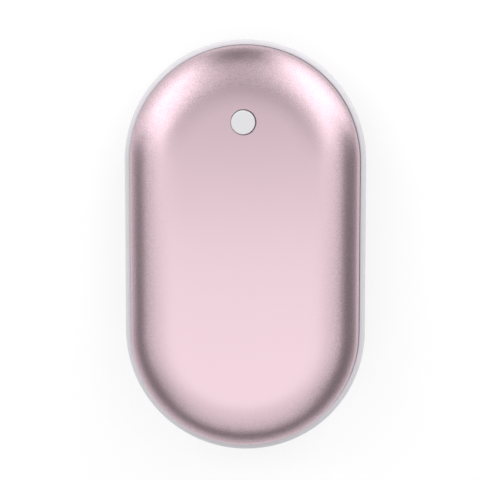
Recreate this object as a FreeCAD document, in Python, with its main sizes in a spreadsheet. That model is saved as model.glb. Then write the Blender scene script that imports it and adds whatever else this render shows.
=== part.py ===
# Rechargeable hand warmer: two aluminium dish covers on a white band, built around two battery cells.
# Lengths are millimetres and angles are degrees. It lies on its rear cover: X is its width,
# Y runs towards the button end and Z points up out of the front cover.
import FreeCAD
import Part
import Sketcher
import math
import os
import re
from FreeCAD import Placement, Rotation, Vector

# Driving dimensions: name, value and meaning
driving = [
    ("cell_diameter", "18.4", "battery cell across its sleeve"),
    ("cell_length", "65", "battery cell over its terminal"),
    ("cell_gap", "0.4", "between the two cells"),
    ("cell_clearance", "0.1", "cell to its saddle"),
    ("cell_edge", "0.5", "rounding at the ends of a cell"),
    ("cell_groove_depth", "0.35", "crimp groove of a cell"),
    ("cell_groove_width", "0.8", "crimp groove of a cell"),
    ("cell_groove_place", "3", "crimp groove from the terminal end"),
    ("terminal_radius", "4.5", "positive terminal of a cell"),
    ("terminal_height", "0.5", "positive terminal of a cell"),
    ("corner_clearance", "0.6", "cell corner to the inside of the band"),
    ("side_space", "7.4", "cell side to the inside of the band"),
    ("strip_thickness", "0.2", "nickel strip"),
    ("strip_height", "6", "nickel strip"),
    ("strip_overhang", "1.6", "strip end short of the pack side"),
    ("end_gap", "0.9", "cell terminal to the board edge"),
    ("band_wall", "4", "band from inside to outside"),
    ("band_reveal", "1.6", "band outside beyond the cover side"),
    ("band_edge_radius", "1.2", "rounding of the band's outer edges"),
    ("lip_overlap", "0.5", "band lip over the cover rim"),
    ("channel_clearance", "0.2", "cover rim to each side of its channel"),
    ("adhesive_thickness", "0.3", "bead under the cover rim"),
    ("port_clearance", "0.15", "socket to its window"),
    ("cover_wall", "1", "aluminium of the covers"),
    ("cover_depth", "7.7", "cover from its rim to its flat"),
    ("rim_height", "1.5", "upright rim of a cover"),
    ("crown_radius", "23.6", "gentle bend of a cover"),
    ("crown_angle", "20", "where the gentle bend ends, from the flat"),
    ("rim_radius", "3", "tight bend above the rim of a cover"),
    ("rim_angle", "45", "where the tight bend starts, from the flat"),
    ("button_diameter", "6", "button cap"),
    ("button_clearance", "0.2", "button cap to its hole"),
    ("button_edge", "0.4", "rounding of the button cap"),
    ("button_proud", "0.3", "button cap above the cover"),
    ("hole_chamfer", "0.12", "bevel round the button hole"),
    ("flange_overlap", "1", "button flange beyond the hole"),
    ("flange_thickness", "0.8", "button flange"),
    ("flange_clearance", "0.1", "button flange under the cover"),
    ("post_radius", "1.6", "button post"),
    ("press_travel", "0.3", "how far the button goes in"),
    ("switch_side", "6", "switch base"),
    ("switch_height", "3.5", "switch base"),
    ("switch_gap", "2.7", "switch base to the large socket"),
    ("plunger_radius", "1.7", "switch plunger"),
    ("plunger_height", "6", "switch plunger above its base"),
    ("plunger_depth", "1.2", "switch plunger inside its base"),
    ("plunger_clearance", "0.15", "switch plunger to its bore"),
    ("board_thickness", "1.2", "circuit board"),
    ("board_clearance", "1", "board to the inside of the band"),
    ("board_edge_margin", "0.4", "switch base to the board edge"),
    ("notch_clearance", "0.25", "large socket to the board's notch"),
    ("tab_half_width", "4.2", "board tab under the charging socket"),
    ("tab_clearance", "0.3", "board tab to the relief in the band"),
    ("board_screw_x", "19", "board screws from the middle"),
    ("board_screw_rise", "1", "board screws beyond the switch"),
    ("usb_a_width", "13.1", "large socket"),
    ("usb_a_height", "5.72", "large socket"),
    ("usb_a_depth", "14", "large socket"),
    ("usb_a_setback", "0.8", "large socket behind the band's outermost point"),
    ("usb_a_corner", "0.6", "corners of the large socket"),
    ("usb_a_wing", "1.6", "mounting wings of the large socket"),
    ("usb_a_block_depth", "4", "insulator block at the back"),
    ("usb_a_tongue_side", "1", "tongue of the large socket to the side of the shell"),
    ("usb_a_tongue_thickness", "1.84", "tongue of the large socket"),
    ("usb_a_tongue_drop", "0.72", "tongue below the roof of the shell"),
    ("usb_a_tongue_setback", "0.9", "tongue behind the mouth"),
    ("contact_width", "1", "socket contact"),
    ("contact_thickness", "0.25", "socket contact"),
    ("contact_gap", "0.1", "socket contact to the insulator block"),
    ("contact_inner", "1", "inner contacts from the middle"),
    ("contact_outer", "3.5", "outer contacts from the middle"),
    ("micro_width", "7.5", "charging socket"),
    ("micro_height", "2.5", "charging socket"),
    ("micro_depth", "5.6", "charging socket"),
    ("micro_setback", "0.3", "charging socket behind the band's surface"),
    ("micro_bevel", "0.8", "lower corners of the charging socket"),
    ("micro_block_depth", "1.8", "insulator block at the back"),
    ("micro_tongue_width", "4.4", "tongue of the charging socket"),
    ("micro_tongue_thickness", "0.65", "tongue of the charging socket"),
    ("shell_wall", "0.3", "sheet of the socket shells"),
    ("insulator_clearance", "0.08", "insulator to its shell"),
    ("relief_wall", "2.2", "band left around the charging socket"),
    ("relief_clearance", "0.4", "relief around the charging socket"),
    ("pin_radius", "0.75", "light pins"),
    ("pin_clearance", "0.06", "light pin to its hole"),
    ("pin_spacing", "2.4", "between light pins"),
    ("guide_thickness", "1", "bar that joins the light pins"),
    ("guide_overhang", "0.6", "bar beyond the outer pins"),
    ("guide_gap", "1.2", "bar to the inside of the band"),
    ("guide_seat", "0.05", "bar above the board"),
    ("light_side", "1.2", "indicator light"),
    ("light_depth", "0.8", "indicator light"),
    ("light_height", "0.8", "indicator light"),
    ("light_gap", "0.1", "indicator light to the bar"),
    ("light_clearance", "1.26", "indicator light to the large socket"),
    ("frame_clearance", "2.4", "frame side to the inside of the band"),
    ("frame_wall", "1.2", "frame side wall"),
    ("frame_floor", "0.8", "frame floor"),
    ("floor_gap", "0.2", "cell to the frame floor"),
    ("frame_drop", "3.5", "top of the frame below the middle"),
    ("rib_thickness", "1.6", "saddle ribs"),
    ("rib_inset", "6", "outer saddle ribs from the cell ends"),
    ("bulkhead_thickness", "1.4", "stops at the cell ends"),
    ("bulkhead_half_width", "12.5", "stops at the cell ends"),
    ("bulkhead_gap", "0.2", "stop to the nickel strip"),
    ("standoff_radius", "2.3", "posts under the board"),
    ("ear_thickness", "1.6", "screw ears of the frame"),
    ("ear_half_width", "3.2", "screw ears and lugs along the side"),
    ("ear_clearance", "0.4", "screw ear to the band"),
    ("ear_place", "14", "screw ears from the middle"),
    ("lug_depth", "4", "screw lugs inside the band"),
    ("lug_height", "6", "screw lugs inside the band"),
    ("screw_inset", "2", "frame screws from the inside of the band"),
    ("screw_radius", "0.95", "screw shank"),
    ("screw_length", "5", "screw shank"),
    ("screw_head_radius", "1.8", "screw head"),
    ("screw_head_height", "1.2", "screw head"),
    ("screw_clearance", "0.15", "screw shank to a plain hole"),
    ("pilot_clearance", "0.05", "screw shank to its pilot hole"),
    ("pilot_spare", "0.5", "pilot hole beyond the screw end"),
    ("slot_width", "0.5", "cross in a screw head"),
    ("slot_depth", "0.6", "cross in a screw head"),
    ("film_thickness", "0.2", "heater films"),
    ("film_margin", "0.7", "heater film inside the cover's flat"),
    ("film_slot_clearance", "0.8", "heater film to the button flange"),
    ("pad_thickness", "2.1", "room for foam under the frame"),
    ("pad_inset", "3", "foam pads from the cell terminals"),
    ("pad_clearance", "0.1", "foam to its neighbours"),
    ("wire_radius", "0.6", "battery leads"),
    ("wire_bend", "2", "bends of the battery leads"),
    ("wire_gap", "0.1", "battery lead to what it passes"),
    ("wire_run_gap", "0.5", "long battery lead to the cell"),
    ("wire_side", "2.6", "battery leads from the side of the pack"),
    ("wire_reach", "2.4", "battery leads beyond the strip"),
    ("positive_lead_rise", "2", "short battery lead above the middle"),
    ("ribbon_width", "2.4", "twin leads"),
    ("ribbon_thickness", "1.1", "twin leads"),
    ("ribbon_offset", "2", "sideways step of a twin lead"),
    ("ribbon_bend", "4", "height of a twin lead's step"),
    ("front_lead_inset", "5.5", "front heater lead from the side of its film"),
    ("rear_lead_inset", "8", "rear heater lead from the side of its film"),
    ("rear_lead_edge", "0.8", "rear heater lead from the end of its film"),
    ("lead_hole_clearance", "0.6", "twin lead to its hole in the frame"),
    ("thermistor_gap", "1.78", "temperature sensor to the slot in the film"),
    ("thermistor_length", "2.6", "temperature sensor"),
    ("thermistor_width", "1.8", "temperature sensor"),
    ("thermistor_height", "1", "temperature sensor"),
    ("thermistor_ribbon_width", "1.4", "temperature sensor lead"),
    ("thermistor_ribbon_thickness", "0.7", "temperature sensor lead"),
    ("lead_row_inset", "1.9", "lead ends from the board's straight edge"),
    ("chip_width", "5", "controller chip"),
    ("chip_length", "6", "controller chip"),
    ("chip_height", "1.5", "controller chip"),
    ("inductor_radius", "3", "inductor"),
    ("inductor_height", "3", "inductor"),
    ("component_x", "11.8", "chip and inductor from the middle"),
    ("component_rise", "3.2", "chip and inductor beyond the switch"),
    ("capacitor_width", "1.6", "capacitors"),
    ("capacitor_length", "3.2", "capacitors"),
    ("capacitor_x", "16.2", "capacitors from the middle"),
    ("capacitor_rise", "5", "capacitors beyond the switch"),
]

# Values worked out from the driving dimensions, heights measured from the middle of the band
worked_out = [
    ("pack_half_width", "cell_diameter + cell_gap / 2"),
    ("inner_radius", "pack_half_width + side_space"),
    ("band_radius", "inner_radius + band_wall"),
    ("cover_radius", "band_radius - band_reveal"),
    ("usb_a_back", "band_radius - usb_a_setback - usb_a_depth"),
    ("usb_a_tongue_width", "usb_a_width - 2 * usb_a_tongue_side"),
    ("usb_a_block_end", "shell_wall + insulator_clearance + usb_a_block_depth"),
    ("contact_start", "usb_a_block_end + contact_gap"),
    ("contact_end", "usb_a_depth - usb_a_tongue_setback - contact_width / 2"),
    ("button_offset", "usb_a_back - switch_gap - switch_side / 2"),
    ("board_edge_offset", "button_offset - switch_side / 2 - board_edge_margin"),
    ("cell_top_offset", "board_edge_offset - end_gap"),
    ("cell_corner", "inner_radius - corner_clearance"),
    ("cell_bottom_offset", "sqrt(cell_corner * cell_corner - pack_half_width * pack_half_width)"),
    ("straight", "cell_length - cell_top_offset - cell_bottom_offset"),
    ("end_centre", "straight / 2"),
    ("button_y", "end_centre + button_offset"),
    ("board_edge", "end_centre + board_edge_offset"),
    ("cell_top", "end_centre + cell_top_offset"),
    ("cell_bottom", "cell_top - cell_length"),
    ("cell_x", "(cell_diameter + cell_gap) / 2"),
    ("floor_top", "-cell_diameter / 2 - floor_gap"),
    ("floor_under", "floor_top - frame_floor"),
    ("film_inside", "pad_thickness - floor_under"),
    ("cover_inside", "film_inside + film_thickness"),
    ("cover_top", "cover_inside + cover_wall"),
    ("rim_level", "cover_top - cover_depth"),
    ("channel_floor", "rim_level - adhesive_thickness"),
    ("lip_top", "rim_level + lip_overlap"),
    ("wall_top", "rim_level + rim_height"),
    ("crown_rise", "crown_radius * (1 - cos(crown_angle))"),
    ("rim_rise", "rim_radius * cos(rim_angle)"),
    ("shoulder_rise", "cover_depth - rim_height - crown_rise - rim_rise"),
    ("shoulder_radius", "shoulder_rise / (cos(crown_angle) - cos(rim_angle))"),
    ("rim_bend_x", "cover_radius - rim_radius * (1 - sin(rim_angle))"),
    ("rim_bend_z", "wall_top + rim_rise"),
    ("inner_rim_x", "rim_bend_x - cover_wall * sin(rim_angle)"),
    ("inner_rim_z", "rim_bend_z - cover_wall * cos(rim_angle)"),
    ("bend_x", "rim_bend_x - shoulder_radius * (sin(rim_angle) - sin(crown_angle))"),
    ("bend_z", "rim_bend_z + shoulder_rise"),
    ("inner_bend_x", "bend_x - cover_wall * sin(crown_angle)"),
    ("inner_bend_z", "bend_z - cover_wall * cos(crown_angle)"),
    ("flat_half", "bend_x - crown_radius * sin(crown_angle)"),
    ("film_radius", "flat_half - film_margin"),
    ("board_top", "-micro_height / 2"),
    ("board_under", "board_top - board_thickness"),
    ("board_radius", "inner_radius - board_clearance"),
    ("relief_radius", "band_radius - relief_wall"),
    ("frame_radius", "inner_radius - frame_clearance"),
    ("frame_top", "-frame_drop"),
    ("screw_x", "inner_radius - screw_inset"),
    ("board_screw_y", "button_y + board_screw_rise"),
    ("hole_radius", "button_diameter / 2 + button_clearance"),
    ("flange_radius", "hole_radius + flange_overlap"),
    ("flange_top", "cover_inside - flange_clearance"),
    ("switch_top", "board_top + switch_height"),
    ("plunger_top", "switch_top + plunger_height"),
    ("lead_row", "board_edge + lead_row_inset"),
    ("wire_x", "pack_half_width - wire_side"),
    ("wire_hug", "cell_diameter / 2 + wire_radius + wire_run_gap"),
    ("wire_level", "sqrt(wire_hug * wire_hug - (wire_x - cell_x) * (wire_x - cell_x))"),
    ("front_lead_x", "film_radius - front_lead_inset"),
    ("rear_lead_x", "film_radius - rear_lead_inset"),
    ("film_slot_half", "flange_radius + film_slot_clearance"),
    ("thermistor_x", "film_slot_half + thermistor_gap + thermistor_length / 2"),
    ("rear_lead_side", "rear_lead_x + ribbon_width / 2"),
    ("rear_lead_film", "sqrt(film_radius * film_radius - rear_lead_side * rear_lead_side)"),
    ("rear_lead_y", "end_centre + rear_lead_film - rear_lead_edge - ribbon_thickness / 2"),
    ("guide_outside", "inner_radius - guide_gap"),
    ("guide_half", "1.5 * pin_spacing + pin_radius + guide_overhang"),
    ("light_radius", "guide_outside - guide_thickness - light_gap - light_depth"),
    ("light_half", "1.5 * pin_spacing + light_side / 2"),
    ("light_reach", "sqrt(light_radius * light_radius + light_half * light_half)"),
    ("light_side_place", "usb_a_width / 2 + light_clearance"),
    ("port_angle", "asin(light_side_place / light_reach) + atan(light_half / light_radius)"),
]

doc = FreeCAD.newDocument("HandWarmer")
sizes = doc.addObject("Spreadsheet::Sheet", "Sizes")
worked = doc.addObject("Spreadsheet::Sheet", "Worked")
driving_names = {name for name, number, meaning in driving}
worked_names = {name for name, formula in worked_out}
nodes = []


def bound(text, own=""):
    """A formula with its bare names turned into references to the sheets."""

    def refer(match):
        word = match.group(0)
        if word in driving_names:
            return "Sizes." + word
        if word in worked_names:
            return own + word
        return word

    return re.sub(r"[A-Za-z_]\w*", refer, text)


def formula_of(text):
    return bound(text, "Worked.")


def number_of(text):
    """The value that a formula has now."""
    result = worked.evalExpression(formula_of(text))
    return float(getattr(result, "Value", result))


def bind(item, path, text):
    item.setExpression(path, formula_of(text))


for row, (name, number, meaning) in enumerate(driving, start=1):
    sizes.set(f"A{row}", meaning)
    sizes.set(f"B{row}", number)
    sizes.setAlias(f"B{row}", name)
for row, (name, formula) in enumerate(worked_out, start=1):
    worked.set(f"A{row}", name)
    worked.set(f"B{row}", "=" + bound(formula))
    worked.setAlias(f"B{row}", name)
doc.recompute()


# Sketches whose points are bound to formulas


def origin_feature(body, role):
    for feature in body.Origin.OriginFeatures:
        if feature.Role == role:
            return feature
    raise ValueError(f"{body.Label} has no {role}")


def new_body(label, x="0", y="0", turn=None):
    """A sub-part whose own origin lies in the middle of the band, moved by x and y."""
    body = doc.addObject("PartDesign::Body", label)
    body.Label = label
    bind(body, "Placement.Base.x", x)
    bind(body, "Placement.Base.y", y)
    bind(body, "Placement.Base.z", "cover_top")
    if turn:
        bind(body, "Placement.Rotation.Angle", turn)
    nodes.append(body)
    return body


def new_sketch(body, name, role, lift="0", across="0", turn=None):
    """A sketch on an origin plane: lifted along its normal, or moved up it and turned about the up axis."""
    sketch = body.newObject("Sketcher::SketchObject", f"{body.Label}_{name}")
    sketch.AttachmentSupport = [(origin_feature(body, role), "")]
    sketch.MapMode = "FlatFace"
    if turn:
        axis = Vector(0, 0, 1) if role == "XY_Plane" else Vector(0, 1, 0)
        sketch.AttachmentOffset = Placement(Vector(0, 0, 0), Rotation(axis, number_of(turn)))
        bind(sketch, "AttachmentOffset.Rotation.Angle", turn)
    bind(sketch, "AttachmentOffset.Base.y", across)
    bind(sketch, "AttachmentOffset.Base.z", lift)
    return sketch


def locate(sketch, element, point, x, y):
    """Bind a sketch point to formulas for its two coordinates."""
    for kind, axis, text in (("DistanceX", -2, x), ("DistanceY", -1, y)):
        if text == "0":
            sketch.addConstraint(Sketcher.Constraint("PointOnObject", element, point, axis))
            continue
        rule = Sketcher.Constraint(kind, -1, 1, element, point, number_of(text))
        place = sketch.addConstraint(rule)
        bind(sketch, f"Constraints[{place}]", text)


def arc_between(start, end, radius, turn):
    """The short arc from start to end, turn 1 being anticlockwise and -1 clockwise."""
    half = (end - start) / 2
    middle = start + half
    reach = math.sqrt(max(radius * radius - half.Length * half.Length, 0))
    side = Vector(-half.y, half.x, 0).normalize()
    centre = middle + side * (reach * turn)
    circle = Part.Circle(centre, Vector(0, 0, 1), radius)
    first = math.atan2(start.y - centre.y, start.x - centre.x)
    last = math.atan2(end.y - centre.y, end.x - centre.x)
    if turn < 0:
        first, last = last, first
    return Part.ArcOfCircle(circle, first, last)


def draw_path(sketch, corners, arcs=None, closed=True):
    """Lines and arcs through corners given as pairs of formulas.

    arcs maps the number of a stretch to its radius and turn, or for a half circle to
    the word half, its turn and how far along its axis its centre lies.
    """
    arcs = arcs or {}
    points = [Vector(number_of(x), number_of(y), 0) for x, y in corners]
    count = len(corners) if closed else len(corners) - 1
    ends = []
    for index in range(count):
        start = points[index]
        end = points[(index + 1) % len(points)]
        if index not in arcs:
            element = sketch.addGeometry(Part.LineSegment(start, end), False)
            ends.append((element, 1, 2))
            continue
        size, turn = arcs[index][0], arcs[index][1]
        half = size == "half"
        radius = (end - start).Length / 2 if half else number_of(size)
        element = sketch.addGeometry(arc_between(start, end, radius, turn), False)
        ends.append((element, 1, 2) if turn > 0 else (element, 2, 1))
    for index, (element, first, last) in enumerate(ends):
        locate(sketch, element, first, *corners[index])
        if index + 1 < len(ends):
            following = ends[index + 1]
            sketch.addConstraint(Sketcher.Constraint("Coincident", element, last, following[0], following[1]))
        elif closed:
            sketch.addConstraint(Sketcher.Constraint("Coincident", element, last, ends[0][0], ends[0][1]))
        else:
            locate(sketch, element, last, *corners[-1])
    for index, rule in arcs.items():
        element = ends[index][0]
        if rule[0] == "half":
            span = points[(index + 1) % len(points)] - points[index]
            kind = "DistanceX" if abs(span.y) > abs(span.x) else "DistanceY"
            place = sketch.addConstraint(Sketcher.Constraint(kind, -1, 1, element, 3, number_of(rule[2])))
            bind(sketch, f"Constraints[{place}]", rule[2])
        else:
            place = sketch.addConstraint(Sketcher.Constraint("Radius", element, number_of(rule[0])))
            bind(sketch, f"Constraints[{place}]", rule[0])


def draw_circle(sketch, x, y, radius):
    circle = Part.Circle(Vector(number_of(x), number_of(y), 0), Vector(0, 0, 1), number_of(radius))
    element = sketch.addGeometry(circle, False)
    locate(sketch, element, 3, x, y)
    place = sketch.addConstraint(Sketcher.Constraint("Radius", element, number_of(radius)))
    bind(sketch, f"Constraints[{place}]", radius)


def draw_rectangle(sketch, left, right, low, high):
    draw_path(sketch, [(left, low), (right, low), (right, high), (left, high)])


def draw_rounded(sketch, half_width, half_height, corner, middle="0"):
    """A rectangle with round corners about the vertical axis."""
    right, left = half_width, f"-({half_width})"
    high, low = f"{middle} + {half_height}", f"{middle} - ({half_height})"
    corners = [
        (f"{left} + {corner}", low),
        (f"{right} - ({corner})", low),
        (right, f"{low} + {corner}"),
        (right, f"{high} - ({corner})"),
        (f"{right} - ({corner})", high),
        (f"{left} + {corner}", high),
        (left, f"{high} - ({corner})"),
        (left, f"{low} + {corner}"),
    ]
    draw_path(sketch, corners, {1: (corner, 1), 3: (corner, 1), 5: (corner, 1), 7: (corner, 1)})


def draw_stadium(sketch, radius):
    """The outline that every layer shares: two straight sides and two half circles."""
    corners = [
        (radius, "-end_centre"),
        (radius, "end_centre"),
        (f"-({radius})", "end_centre"),
        (f"-({radius})", "-end_centre"),
    ]
    draw_path(sketch, corners, {1: ("half", 1, "end_centre"), 3: ("half", 1, "-end_centre")})


# Features


def add_pad(body, sketch, length, back=False, both=False):
    pad = body.newObject("PartDesign::Pad", f"{sketch.Name}_pad")
    pad.Profile = sketch
    pad.Midplane = both
    pad.Reversed = back
    bind(pad, "Length", length)
    return pad


def add_pocket(body, sketch, depth, back=False):
    """A cut that has to remove something."""
    doc.recompute()
    before = body.Shape.Volume
    pocket = body.newObject("PartDesign::Pocket", f"{sketch.Name}_cut")
    pocket.Profile = sketch
    pocket.Reversed = back
    bind(pocket, "Length", depth)
    doc.recompute()
    if not body.Shape.Volume < before:
        raise ValueError(f"{pocket.Name} cuts nothing")
    return pocket


def add_turn(body, sketch, angle):
    turn = body.newObject("PartDesign::Revolution", f"{sketch.Name}_turn")
    turn.Profile = sketch
    turn.ReferenceAxis = (sketch, ["V_Axis"])
    turn.Angle = angle
    return turn


def add_mirror(body, feature, role):
    mirror = body.newObject("PartDesign::Mirrored", f"{feature.Name}_mirror")
    mirror.Originals = [feature]
    mirror.MirrorPlane = (origin_feature(body, role), [""])
    body.Tip = mirror
    return mirror


def add_ring(body, draw_section):
    """Carry a section along both straight sides and round both ends."""
    side = new_sketch(body, "side", "XZ_Plane")
    draw_section(side)
    run = add_pad(body, side, "straight", both=True)
    end = new_sketch(body, "end", "XZ_Plane", lift="-end_centre")
    draw_section(end)
    turn = add_turn(body, end, 180)
    add_mirror(body, run, "YZ_Plane")
    add_mirror(body, turn, "XZ_Plane")
    doc.recompute()


def four_corners():
    return [(x, y) for x in (1, -1) for y in (1, -1)]


# Covers


def draw_cover_section(sketch, side):
    corners = [
        ("0", f"{side} * cover_inside"),
        ("flat_half", f"{side} * cover_inside"),
        ("inner_bend_x", f"{side} * inner_bend_z"),
        ("inner_rim_x", f"{side} * inner_rim_z"),
        ("cover_radius - cover_wall", f"{side} * wall_top"),
        ("cover_radius - cover_wall", f"{side} * rim_level"),
        ("cover_radius", f"{side} * rim_level"),
        ("cover_radius", f"{side} * wall_top"),
        ("rim_bend_x", f"{side} * rim_bend_z"),
        ("bend_x", f"{side} * bend_z"),
        ("flat_half", f"{side} * cover_top"),
        ("0", f"{side} * cover_top"),
    ]
    arcs = {
        1: ("crown_radius - cover_wall", -side),
        2: ("shoulder_radius - cover_wall", -side),
        3: ("rim_radius - cover_wall", -side),
        7: ("rim_radius", side),
        8: ("shoulder_radius", side),
        9: ("crown_radius", side),
    }
    draw_path(sketch, corners, arcs)


def make_rear_cover():
    body = new_body("rear_cover")
    add_ring(body, lambda sketch: draw_cover_section(sketch, -1))


def make_front_cover():
    body = new_body("front_cover")
    add_ring(body, lambda sketch: draw_cover_section(sketch, 1))
    hole = new_sketch(body, "button_hole", "XY_Plane", lift="cover_top")
    draw_circle(hole, "0", "button_y", "hole_radius")
    cut = add_pocket(body, hole, "2 * cover_wall")
    edge_name = ""
    for index, edge in enumerate(cut.Shape.Edges, start=1):
        round_edge = isinstance(edge.Curve, Part.Circle)
        if round_edge and abs(edge.CenterOfMass.z - number_of("cover_top")) < 1e-6:
            if abs(edge.Curve.Radius - number_of("hole_radius")) < 1e-6:
                edge_name = f"Edge{index}"
    bevel = body.newObject("PartDesign::Chamfer", "button_hole_bevel")
    bevel.Base = (cut, [edge_name])
    bind(bevel, "Size", "hole_chamfer")


# Band with its channels, lugs and windows


def draw_band_section(sketch):
    channel_out = "cover_radius + channel_clearance"
    channel_in = "cover_radius - cover_wall - channel_clearance"
    corners = [
        ("band_radius", "-(lip_top - band_edge_radius)"),
        ("band_radius", "lip_top - band_edge_radius"),
        ("band_radius - band_edge_radius", "lip_top"),
        (channel_out, "lip_top"),
        (channel_out, "channel_floor"),
        (channel_in, "channel_floor"),
        (channel_in, "lip_top"),
        ("inner_radius", "lip_top"),
        ("inner_radius", "-lip_top"),
        (channel_in, "-lip_top"),
        (channel_in, "-channel_floor"),
        (channel_out, "-channel_floor"),
        (channel_out, "-lip_top"),
        ("band_radius - band_edge_radius", "-lip_top"),
    ]
    draw_path(sketch, corners, {1: ("band_edge_radius", 1), 13: ("band_edge_radius", 1)})


def make_band():
    body = new_body("band")
    add_ring(body, draw_band_section)
    lugs = new_sketch(body, "lugs", "XY_Plane", lift="frame_top")
    inside = "inner_radius - lug_depth"
    outside = "inner_radius + band_wall / 4"
    for x, y in four_corners():
        left, right = (inside, outside) if x > 0 else (f"-({outside})", f"-({inside})")
        low = f"{y} * ear_place - ear_half_width"
        draw_rectangle(lugs, left, right, low, f"{y} * ear_place + ear_half_width")
    add_pad(body, lugs, "lug_height")
    pilots = new_sketch(body, "pilots", "XY_Plane", lift="frame_top")
    for x, y in four_corners():
        draw_circle(pilots, f"{x} * screw_x", f"{y} * ear_place", "screw_radius + pilot_clearance")
    add_pocket(body, pilots, "screw_length - ear_thickness + pilot_spare", back=True)
    window = new_sketch(body, "usb_a_window", "XZ_Plane", lift="-end_centre")
    half_width = "usb_a_width / 2 + port_clearance"
    draw_rounded(window, half_width, "usb_a_height / 2 + port_clearance", "usb_a_corner + port_clearance")
    add_pocket(body, window, "band_radius + band_wall")
    micro = new_sketch(body, "micro_window", "XZ_Plane", turn="port_angle")
    draw_micro_outline(micro, "port_clearance")
    relief = new_sketch(body, "micro_relief", "XZ_Plane", turn="port_angle")
    reach = "tab_half_width + tab_clearance"
    low = "board_under - tab_clearance"
    draw_rectangle(relief, f"-({reach})", reach, low, "micro_height / 2 + relief_clearance")
    pins = new_sketch(body, "pin_holes", "XZ_Plane", turn="-port_angle")
    for step in (-1.5, -0.5, 0.5, 1.5):
        draw_circle(pins, f"{step} * pin_spacing", "0", "pin_radius + pin_clearance")
    for sketch in (micro, relief, pins):
        bind(sketch, "AttachmentOffset.Base.z", "-end_centre")
    add_pocket(body, micro, "band_radius + band_wall")
    add_pocket(body, relief, "relief_radius")
    add_pocket(body, pins, "band_radius + band_wall")


def make_adhesive(label, floor):
    body = new_body(label)
    ring = new_sketch(body, "ring", "XY_Plane", lift=floor)
    draw_stadium(ring, "cover_radius")
    draw_stadium(ring, "cover_radius - cover_wall")
    add_pad(body, ring, "adhesive_thickness")


# Frame that carries the cells and the board


def make_inner_frame():
    body = new_body("inner_frame")
    floor = new_sketch(body, "floor", "XY_Plane", lift="floor_under")
    draw_stadium(floor, "frame_radius")
    add_pad(body, floor, "frame_floor")
    wall = new_sketch(body, "wall", "XY_Plane", lift="floor_under")
    draw_stadium(wall, "frame_radius")
    draw_stadium(wall, "frame_radius - frame_wall")
    add_pad(body, wall, "frame_top - floor_under")
    add_frame_ribs(body)
    add_frame_supports(body)
    add_frame_ears(body)
    leads = new_sketch(body, "lead_hole", "XY_Plane", lift="floor_top")
    half_width = "ribbon_width / 2 + lead_hole_clearance"
    half_depth = "ribbon_thickness / 2 + lead_hole_clearance"
    draw_rectangle(
        leads,
        f"-rear_lead_x - ({half_width})",
        f"-rear_lead_x + {half_width}",
        f"rear_lead_y - ({half_depth})",
        f"rear_lead_y + {half_depth}",
    )
    add_pocket(body, leads, "2 * frame_floor")


def add_frame_ribs(body):
    ribs = new_sketch(body, "ribs", "XY_Plane", lift="floor_under")
    reach = "frame_radius - frame_wall / 2"
    middles = ("cell_bottom + rib_inset", "(cell_bottom + cell_top) / 2", "cell_top - rib_inset")
    for middle in middles:
        narrow = reach
        if middle == middles[0]:
            narrow = "pack_half_width - rib_inset / 3"
        low = f"{middle} - rib_thickness / 2"
        draw_rectangle(ribs, f"-({narrow})", narrow, low, f"{middle} + rib_thickness / 2")
    add_pad(body, ribs, "frame_top - floor_under")
    beds = new_sketch(body, "cell_beds", "XZ_Plane", lift="-(cell_top + bulkhead_gap / 2)")
    for side in (1, -1):
        draw_circle(beds, f"{side} * cell_x", "0", "cell_diameter / 2 + cell_clearance")
    add_pocket(body, beds, "cell_length + bulkhead_gap", back=True)


def add_frame_supports(body):
    front = "cell_top + strip_thickness + bulkhead_gap"
    rear = "cell_bottom - strip_thickness - 2 * wire_radius - bulkhead_gap"
    stop = new_sketch(body, "board_stop", "XY_Plane", lift="floor_under")
    half_width = "bulkhead_half_width"
    draw_rectangle(stop, f"-{half_width}", half_width, front, f"{front} + bulkhead_thickness")
    for side in (1, -1):
        draw_circle(stop, f"{side} * board_screw_x", "board_screw_y", "standoff_radius")
    add_pad(body, stop, "board_under - floor_under")
    end = new_sketch(body, "rear_stop", "XY_Plane", lift="floor_under")
    draw_rectangle(end, f"-{half_width}", half_width, f"{rear} - bulkhead_thickness", rear)
    add_pad(body, end, "frame_top - floor_under")
    pilots = new_sketch(body, "board_pilots", "XY_Plane", lift="board_under")
    for side in (1, -1):
        draw_circle(pilots, f"{side} * board_screw_x", "board_screw_y", "screw_radius + pilot_clearance")
    add_pocket(body, pilots, "screw_length - board_thickness + pilot_spare")


def add_frame_ears(body):
    ears = new_sketch(body, "ears", "XY_Plane", lift="frame_top - ear_thickness")
    inside = "frame_radius - frame_wall / 2"
    outside = "inner_radius - ear_clearance"
    for x, y in four_corners():
        left, right = (inside, outside) if x > 0 else (f"-({outside})", f"-({inside})")
        low = f"{y} * ear_place - ear_half_width"
        draw_rectangle(ears, left, right, low, f"{y} * ear_place + ear_half_width")
    add_pad(body, ears, "ear_thickness")
    holes = new_sketch(body, "ear_holes", "XY_Plane", lift="frame_top")
    for x, y in four_corners():
        draw_circle(holes, f"{x} * screw_x", f"{y} * ear_place", "screw_radius + screw_clearance")
    add_pocket(body, holes, "2 * ear_thickness")
    heads = new_sketch(body, "head_room", "XY_Plane", lift="frame_top - ear_thickness")
    for x, y in four_corners():
        radius = "screw_head_radius + screw_clearance"
        draw_circle(heads, f"{x} * screw_x", f"{y} * ear_place", radius)
    add_pocket(body, heads, "frame_top - ear_thickness - floor_under + frame_floor")


# Screws made of plain solids


def plain_cylinder(name, x, y, z, radius, height):
    cylinder = doc.addObject("Part::Cylinder", name)
    bind(cylinder, "Radius", radius)
    bind(cylinder, "Height", height)
    bind(cylinder, "Placement.Base.x", x)
    bind(cylinder, "Placement.Base.y", y)
    bind(cylinder, "Placement.Base.z", z)
    return cylinder


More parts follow.
